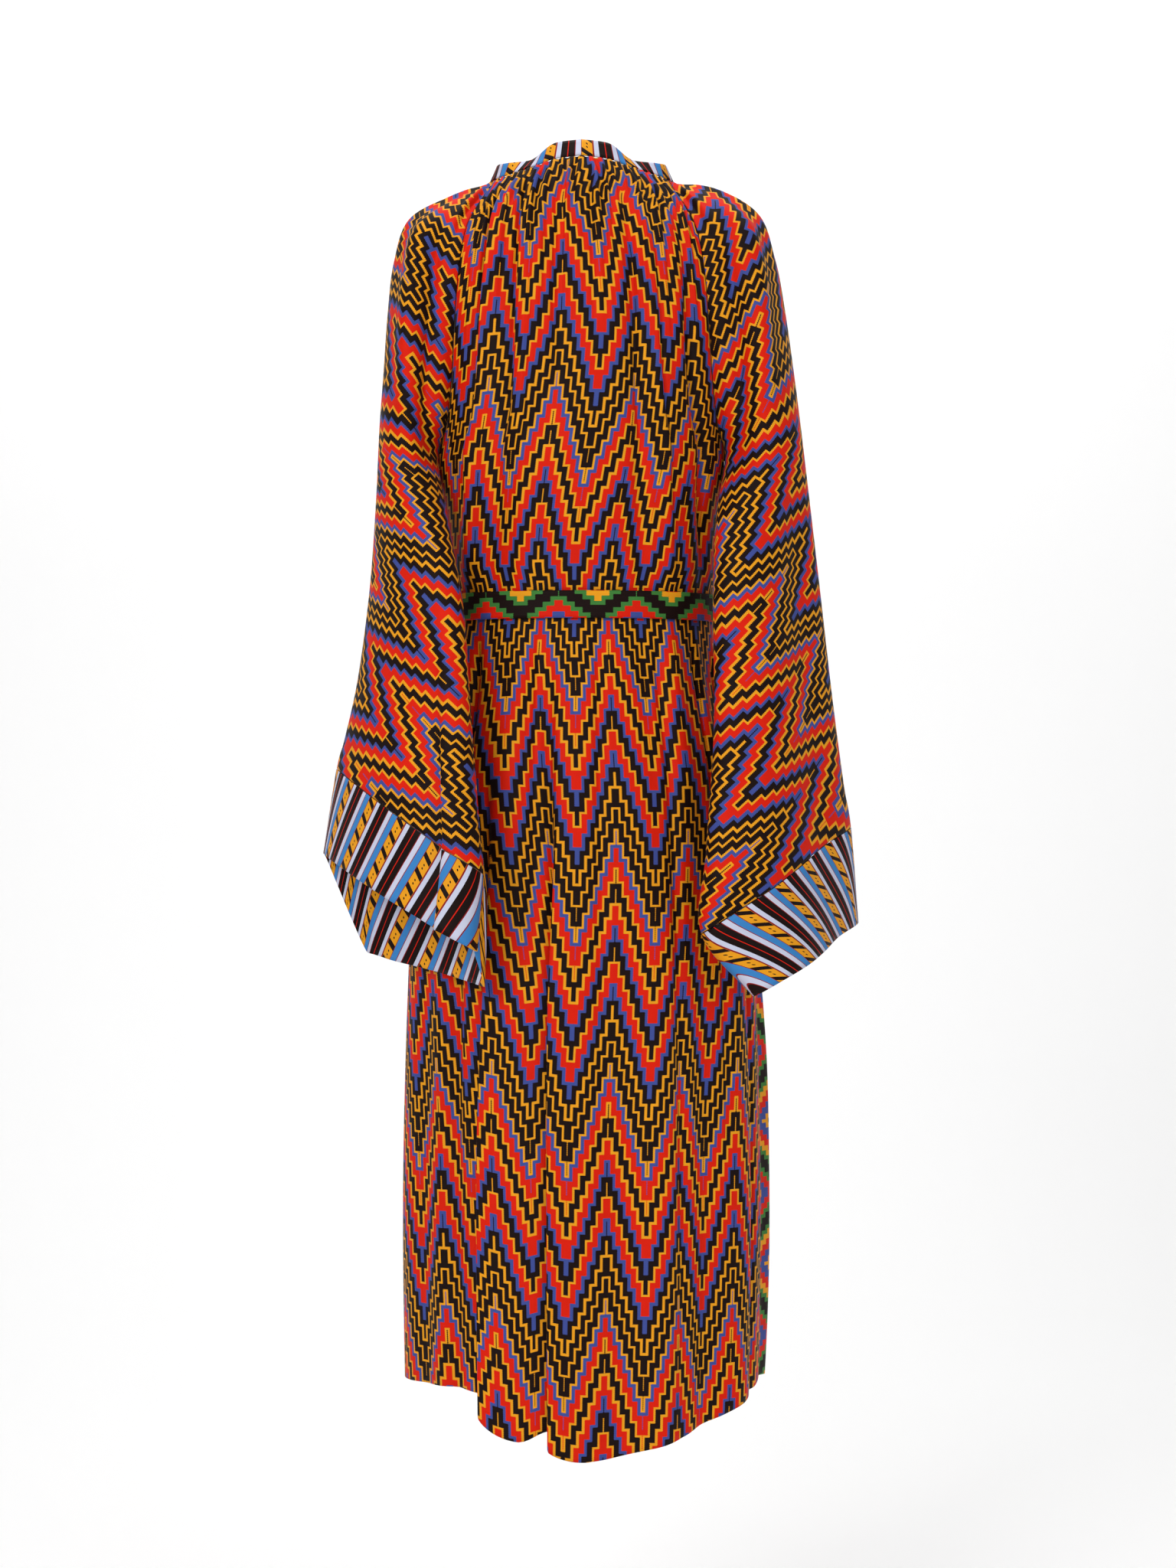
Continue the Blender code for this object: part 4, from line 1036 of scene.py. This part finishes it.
# %% [markdown]
# ## The cuffs
# Each cuff is a doubled band sewn to the sleeve's edge, so it is thicker and stiffer than the
# sleeve. Its stripes run square to the seam. The seam slants downwards, so the stripes lean, on
# the near layer and on the far one alike, and turn over at the folds between the layers.

# %% Cuffs
CUFF_SHEET = 0.0014
CUFF_GAP = 0.0011
CUFF_LEAN = {-1: 0.45, 1: 0.60}
cuffs = {}
for way, sleeve in ((-1, left), (1, right)):
    cuff = sleeve_surface(way, sleeve_turn[None, :], CUFF_STEPS[:, None])
    seam, wall = cuff[0].copy(), (SHEET + CUFF_SHEET) / 2
    down, up = cuff[2] - seam, sleeve[-3] - seam
    pull_in(cuff, np.s_[0], np.s_[2], seam_clearance(seam, down, up, wall, CUFF_GAP))
    pull_in(sleeve, np.s_[-1], np.s_[-3], seam_clearance(seam, up, down, wall, CUFF_GAP))
    cuffs[way] = cuff


def band_threads(points, way=1, lean=0.0):
    """Threads of a band: metres along it, leaning on both of its layers, and metres up."""
    turn = np.linspace(0.0, 1.0, points.shape[1])
    tilt = lean * np.tanh(3 * np.sin(2 * math.pi * turn))
    down = along_rows(np.swapaxes(points, 0, 1)).T
    along = along_rows(points).mean(axis=0) - tilt * down
    return np.stack([way * along, down[-1:] - down], axis=-1)


# Poplin is woven closer than the viscose, so it looks a little smoother
POPLIN_ROUGHNESS = 0.55
stripes = cloth("printed poplin, stripes", stripe_print, roughness=POPLIN_ROUGHNESS)
stripes_inside = cloth(
    "printed poplin, stripes, inside", stripe_print, roughness=POPLIN_ROUGHNESS, up=-1.0
)
left_sleeve = add_sheet(
    "left_sleeve_cloth", left, left_threads, SHEET, flame, CAP_ROWS, flip=True, inside=flame_inside
)
right_sleeve = add_sheet(
    "right_sleeve_cloth", right, right_threads, SHEET, flame, CAP_ROWS, inside=flame_inside
)
left_cuff = add_sheet(
    "left_cuff_band", cuffs[-1], band_threads(cuffs[-1], -1, CUFF_LEAN[-1]), CUFF_SHEET, stripes, 0,
    flip=True, inside=stripes_inside,
)
right_cuff = add_sheet(
    "right_cuff_band", cuffs[1], band_threads(cuffs[1], 1, CUFF_LEAN[1]), CUFF_SHEET, stripes, 0,
    inside=stripes_inside,
)

# %% [markdown]
# ## The neckband
# The neckband is a narrow doubled stand that leans slightly inwards. A strip swept along a curve
# would do, but the gap to the gathered cloth below has to be the same all round. So its foot and
# its top are worked out from the neck seam, and the rows between them are filled in.

# %% Neckband
BAND_SHEET = 0.0018
BAND_COLUMNS = 288


def below_neck(angle_deg):
    """The direction the cloth leaves the neck seam in."""
    around = from_back(angle_deg)
    step = 0.04
    back_way = panel_point(-1, angle_deg / BACK_CORNER_DEG, step)
    front_way = panel_point(1, (180.0 - angle_deg % 360.0) / (180.0 - FRONT_CORNER_DEG), step)
    turn = (around - BACK_CORNER_DEG) / (FRONT_CORNER_DEG - BACK_CORNER_DEG)
    right_way = sleeve_point(1, turn, step * UNDERARM_STEP)
    left_way = sleeve_point(-1, turn, step * UNDERARM_STEP)
    on_right = (np.sin(np.radians(angle_deg)) > 0)[..., None]
    below = np.where(on_right, right_way, left_way)
    below = np.where((around < BACK_CORNER_DEG)[..., None], back_way, below)
    below = np.where((around > FRONT_CORNER_DEG)[..., None], front_way, below)
    return unit(below - neck_point(angle_deg))


band_angle = np.linspace(0.0, 360.0, BAND_COLUMNS + 1)
neck_seam, rise = neck_point(band_angle), band_rise(band_angle)
clear = seam_clearance(neck_seam, rise, below_neck(band_angle), NECK_WALLS, NECK_GAP)
foot, top = neck_seam + unit(rise) * clear[:, None], neck_seam + rise
band = np.stack([top + (foot - top) * part for part in np.linspace(0.0, 1.0, 7)])
neckband = add_sheet("neckband_cloth", band, band_threads(band), BAND_SHEET, stripes, 0)

# %% [markdown]
# ## The belt
# A narrow sash of the diamond print, tied in front. It could be shrunk onto the panels with a
# modifier, but the panels' own formula gives the same points exactly, moved out by a few
# millimetres. Its two ends hang from the knot and come to lie on the front, and the knot is a soft
# lump with two creases where the sash goes round itself.

# %% Belt
BELT_SHEET = 0.0018
BELT_COLUMNS = 240
half = BELT_COLUMNS // 2
across = np.linspace(-1.0, 1.0, half, endpoint=False)
heights = np.linspace(BELT_TOP, BELT_TOP - BELT_HEIGHT, 9)
sides = []
for face in (-1, 1):
    base, outward, _ = frame_at(
        lambda a, d: panel_point(face, a, d),
        *np.broadcast_arrays(-face * across, row_at(heights)[:, None]), -face,
    )
    sides.append(base + outward * BELT_STANDOFF)
belt_loop = np.concatenate(sides, axis=1)
belt_loop = np.concatenate([belt_loop, belt_loop[:, :1]], axis=1)
SASH_AT = (0.036, 0.010)
sash = cloth("printed viscose, stepped diamonds, sash", diamond_print, *SASH_AT)
belt = add_sheet("belt_sash", belt_loop, band_threads(belt_loop), BELT_SHEET, sash, 0)

# %% Belt ends and knot
KNOT_HALF_SIZE = (0.020, 0.010, 0.017)
KNOT_GAP = 0.0007
KNOT_MIDDLE = BELT_TOP - BELT_HEIGHT / 2
TAIL_TOP = KNOT_MIDDLE - KNOT_HALF_SIZE[2] - 0.0024
TAIL_HALF_WIDTH = 0.0145
TAIL_STANDOFF = 0.0030
TAIL_TOP_STANDOFF = 0.0165

# Where each end leaves the knot, where its foot hangs, and its length
BELT_ENDS = {"left": (-0.0105, -0.044, 0.285), "right": (0.0105, 0.040, 0.315)}


def tail_grid(top_x, foot_x, length):
    """A free end of the belt, hanging from the knot and then lying on the front panel."""
    down = np.linspace(0.0, 1.0, 61)[:, None]
    row = row_at(TAIL_TOP - length * down)
    half_width = TAIL_HALF_WIDTH * (0.55 + 0.45 * ease(down, 0.0, 0.25))
    x = top_x + (foot_x - top_x) * down ** 0.8 + half_width * np.linspace(-1.0, 1.0, 9)[None, :]
    level = UNDERARM_Z + (row - 1.0) * (HEM_SIDE_Z - UNDERARM_Z)
    half_turn = np.radians(read(PANEL_TURN, "row", "deg", row))
    sideways = x / read(BODY, "z", "half_width", level) * np.sin(half_turn)
    standoff = TAIL_TOP_STANDOFF + (TAIL_STANDOFF - TAIL_TOP_STANDOFF) * ease(down, 0.0, 0.3)
    return panel_surface(1, np.arcsin(sideways) / half_turn, row, standoff)


def tail_threads(points):
    """Threads of a belt end: metres along it from the knot, and metres across."""
    down = along_rows(np.swapaxes(points, 0, 1)).T
    across = along_rows(points)
    return np.stack([down, across], axis=-1)


tails = {}
for name, sizes in BELT_ENDS.items():
    grid = tail_grid(*sizes)
    tails[name] = add_sheet(
        f"belt_end_{name}", grid, tail_threads(grid), BELT_SHEET, sash, flip=True
    )


def knot_points(rows, columns):
    """A flat knot: a softly squared lump with creases where the sash wraps over itself."""
    half_size = np.array(KNOT_HALF_SIZE)
    front_y = panel_point(1, 0.0, row_at(KNOT_MIDDLE))[1] + BELT_STANDOFF + 0.0012
    centre = np.array([0.0, front_y + KNOT_GAP + half_size[1], KNOT_MIDDLE])
    tilt = np.linspace(0.02, math.pi - 0.02, rows)[:, None]
    turn = np.linspace(0.0, 2 * math.pi, columns + 1)[None, :]

    def squared(value):
        return np.sign(value) * np.abs(value) ** 0.7

    way = np.stack(np.broadcast_arrays(
        squared(np.sin(tilt)) * squared(np.cos(turn)),
        squared(np.sin(tilt)) * squared(np.sin(turn)),
        squared(np.cos(tilt)),
    ), axis=-1)
    crease = 0.10 * np.exp(-(((way[..., 0] - 0.5 * way[..., 2] - 0.15) / 0.12) ** 2))
    crease += 0.07 * np.exp(-(((way[..., 0] + 0.4 * way[..., 2] + 0.45) / 0.10) ** 2))
    return centre + half_size * way * (0.97 - crease)[..., None]


knot_grid = knot_points(49, 96)
knot_threads = np.stack([along_rows(knot_grid), along_rows(np.swapaxes(knot_grid, 0, 1)).T], axis=-1)
knot = add_sheet("belt_knot_cloth", knot_grid, knot_threads, 0.0006, sash, 0)

# %% [markdown]
# ## Stitches
# A row of machine stitches holds each hem, cuff and band. The rows are laid by Geometry Nodes along
# a path on the finished cloth, because a stitch is one small shape repeated at an even pitch, and
# the pitch can be changed in one place. Each row then becomes a plain mesh that goes with its piece.

# %% A tree for a row of stitches
STITCH_PITCH = 0.0030
STITCH_LENGTH = 0.0021
THREAD_RADIUS = 0.00018
THREAD_LIFT = 0.0001
HEM_INSET = 0.005
BAND_INSET = 0.0018


def stitch_tree():
    """A node tree that lays short threads along a path."""
    tree = bpy.data.node_groups.new("row of stitches", "GeometryNodeTree")
    for name, kind, value in (
        ("Path", "NodeSocketGeometry", None), ("Pitch", "NodeSocketFloat", STITCH_PITCH),
        ("Length", "NodeSocketFloat", STITCH_LENGTH), ("Radius", "NodeSocketFloat", THREAD_RADIUS),
        ("Seed", "NodeSocketInt", 7), ("Thread", "NodeSocketMaterial", None),
    ):
        socket = tree.interface.new_socket(name, in_out="INPUT", socket_type=kind)
        if value is not None:
            socket.default_value = value
    tree.interface.new_socket("Stitches", in_out="OUTPUT", socket_type="NodeSocketGeometry")
    given = add_node(tree, "NodeGroupInput", {}).outputs
    path = add_node(tree, "GeometryNodeMeshToCurve", {0: given["Path"]})
    spaced = add_node(
        tree, "GeometryNodeResampleCurve", {0: path, "Length": given["Pitch"]}, mode="LENGTH"
    )
    places = add_node(tree, "GeometryNodeCurveToPoints", {0: spaced}, mode="EVALUATED")
    half = add_node(tree, "ShaderNodeMath", {0: given["Length"], 1: 0.5}, operation="MULTIPLY")
    back = add_node(tree, "ShaderNodeMath", {0: half, 1: -1.0}, operation="MULTIPLY")
    start = add_node(tree, "ShaderNodeCombineXYZ", {"Z": back})
    end = add_node(tree, "ShaderNodeCombineXYZ", {"Z": half})
    line = add_node(tree, "GeometryNodeCurvePrimitiveLine", {"Start": start, "End": end})
    ring = add_node(
        tree, "GeometryNodeCurvePrimitiveCircle", {"Resolution": 6, "Radius": given["Radius"]}
    )
    thread = add_node(tree, "GeometryNodeCurveToMesh", {0: line, 1: ring, "Fill Caps": True})
    uneven = add_node(
        tree, "FunctionNodeRandomValue", {2: 0.85, 3: 1.10, "Seed": given["Seed"]}, data_type="FLOAT"
    )
    laid = add_node(tree, "GeometryNodeInstanceOnPoints", {
        "Points": places, "Instance": thread, "Rotation": places.outputs["Rotation"],
        "Scale": uneven.outputs[1],
    })
    real = add_node(tree, "GeometryNodeRealizeInstances", {0: laid})
    dressed = add_node(tree, "GeometryNodeSetMaterial", {0: real, "Material": given["Thread"]})
    add_node(tree, "NodeGroupOutput", {0: dressed})
    return tree


# %% Laying the rows
def stitch_path(grid, edge, inner, inset, lift):
    """A path on a sheet beside one of its edges."""
    along = unit(np.gradient(grid[edge], axis=0))
    inwards = unit(grid[inner] - grid[edge])
    return grid[edge] + inwards * inset + unit(np.cross(along, inwards)) * lift


def add_stitches(name, path, thread, piece):
    """A row of stitches along a path, riding with its piece."""
    line = bpy.data.meshes.new(name)
    line.from_pydata([tuple(p) for p in path], [(i, i + 1) for i in range(len(path) - 1)], [])
    row = add_object(name, line)
    laying = row.modifiers.new("stitches", "NODES")
    laying.node_group = stitches
    for socket in stitches.interface.items_tree:
        if socket.name == "Thread":
            laying[socket.identifier] = thread
    laid = bpy.data.meshes.new_from_object(row.evaluated_get(bpy.context.evaluated_depsgraph_get()))
    row.modifiers.clear()
    row.data = laid
    row.parent = piece
    print(name, len(laid.polygons), "faces")
    return row


def thread_material(name, colour):
    """Mercerised cotton thread: its twist is too fine to see, so a soft sheen stands for it."""
    return new_finish(name, {"Base Color": colour, "Roughness": 0.5, "Sheen Weight": 0.1})[0]


stitches = stitch_tree()
print(stitches.name, len(stitches.nodes), "nodes")
cotton = thread_material("black cotton thread", INKS["black"])
hem, up_one, top, down_one = np.s_[-1], np.s_[-2], np.s_[0], np.s_[1]
on_sheet = SHEET / 2 + THREAD_LIFT
on_cuff = CUFF_SHEET / 2 + THREAD_LIFT
on_band = BAND_SHEET / 2 + THREAD_LIFT
ROWS_OF_STITCHES = (
    ("back_hem_stitches", (back, hem, up_one, HEM_INSET, -on_sheet), back_sheet),
    ("front_hem_stitches", (front, hem, up_one, HEM_INSET, on_sheet), front_sheet),
    ("left_cuff_stitches", (cuffs[-1], top, down_one, BAND_INSET, -on_cuff), left_cuff),
    ("right_cuff_stitches", (cuffs[1], top, down_one, BAND_INSET, on_cuff), right_cuff),
    ("neckband_stitches", (band, hem, up_one, BAND_INSET, -on_band), neckband),
    ("belt_top_stitches", (belt_loop, top, down_one, BAND_INSET, on_band), belt),
    ("belt_foot_stitches", (belt_loop, hem, up_one, BAND_INSET, -on_band), belt),
)
for name, place, piece in ROWS_OF_STITCHES:
    add_stitches(name, stitch_path(*place), cotton, piece)

# %% [markdown]
# ## What each piece stands for
# Every piece rides on the one body and stands for its solid, which is hidden.

# %% Riding and replacing
PIECES = (
    (back_sheet, "back_panel_upper", "flame_print"),
    (front_sheet, "front_panel_upper", "diamond_print"),
    (left_sleeve, "sleeve_left", "flame_print"), (right_sleeve, "sleeve_right", "flame_print"),
    (left_cuff, "cuff_left", "stripe_trim"), (right_cuff, "cuff_right", "stripe_trim"),
    (neckband, "neckband", "stripe_trim"), (belt, "belt", "diamond_print"),
    (knot, "belt_knot", "diamond_print"), (tails["left"], "belt_tail_left", "diamond_print"),
    (tails["right"], "belt_tail_right", "diamond_print"),
)
for piece, node, slot in PIECES:
    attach(piece, "root")
    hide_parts(node)
    print(piece.name, "stands for", node)
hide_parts("back_panel_lower")
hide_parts("front_panel_lower")

# %% [markdown]
# ## Floor, light and camera
# A plain pale floor that curves up behind, soft lights on both sides and above, and the camera at
# the height of the garment's middle, a little over three metres away. The light for the backdrop
# is apart from those for the garment, so that the paper stays white while the cloth is shaded.

# %% Floor
FLOOR_Z = -1.66
profile = [(-5.0, FLOOR_Z), (2.0, FLOOR_Z)]
for i in range(1, 13):
    angle = math.pi / 2 * i / 12
    profile.append((2.0 + 1.5 * math.sin(angle), FLOOR_Z + 1.5 * (1 - math.cos(angle))))
profile.append((3.5, 4.0))
floor_mesh = bpy.data.meshes.new("studio floor")
floor_points = [(x, y, z) for y, z in profile for x in (-6.0, 6.0)]
floor_mesh.from_pydata(
    floor_points, [], [[2 * i, 2 * i + 1, 2 * i + 3, 2 * i + 2] for i in range(len(profile) - 1)]
)
floor_mesh.shade_smooth()
floor = add_object("studio floor", floor_mesh)

# Matt paper: so rough that no lamp is mirrored in it
paper, _ = new_finish("matte paper backdrop", {"Base Color": ink("#FDFDFD"), "Roughness": 0.9})
floor_mesh.materials.append(paper)
print("floor", len(floor_mesh.polygons), "faces")

# %% Light
WORLD_STRENGTH = 0.42
world = bpy.data.worlds.new("studio")
bpy.context.scene.world = world
world.use_nodes = True
world.node_tree.nodes["Background"].inputs["Color"].default_value = (1.0, 1.0, 1.0, 1.0)
world.node_tree.nodes["Background"].inputs["Strength"].default_value = WORLD_STRENGTH

LIGHTS = (
    ("backdrop wash", (0.0, 0.9, 3.2), 85.0, 2.5),
    ("left softbox", (-1.5, -3.2, 0.7), 56.0, 1.3),
    ("right softbox", (2.1, -2.9, 0.2), 15.0, 1.3),
    ("top softbox", (0.0, -0.6, 2.4), 18.0, 2.0),
)
for name, place, power, size in LIGHTS:
    lamp = bpy.data.lights.new(name, "AREA")
    lamp.energy = power
    lamp.size = size
    light = add_object(name, lamp)
    light.location = place
    aim = np.array((0.0, 4.0 if place[1] > 0 else 0.0, -0.6)) - place
    light.rotation_euler = (
        math.atan2(math.hypot(aim[0], aim[1]), -aim[2]), 0.0, math.atan2(-aim[0], aim[1]),
    )

# %% Camera
CAMERA_PLACE = (0.0066, -3.10, -0.619)
SENSOR_HEIGHT = 36.0
LENS_LENGTH = 67.57
lens = bpy.data.cameras.new("camera")
lens.sensor_fit = "VERTICAL"
lens.sensor_height = SENSOR_HEIGHT
lens.lens = LENS_LENGTH
camera = add_object("camera", lens)
camera.location = CAMERA_PLACE
camera.rotation_euler = (math.pi / 2, 0.0, 0.0)
print("lights", len(LIGHTS), "and a camera", -CAMERA_PLACE[1], "m behind")
bpy.context.scene.camera = camera
bpy.context.scene.view_settings.view_transform = "Standard"
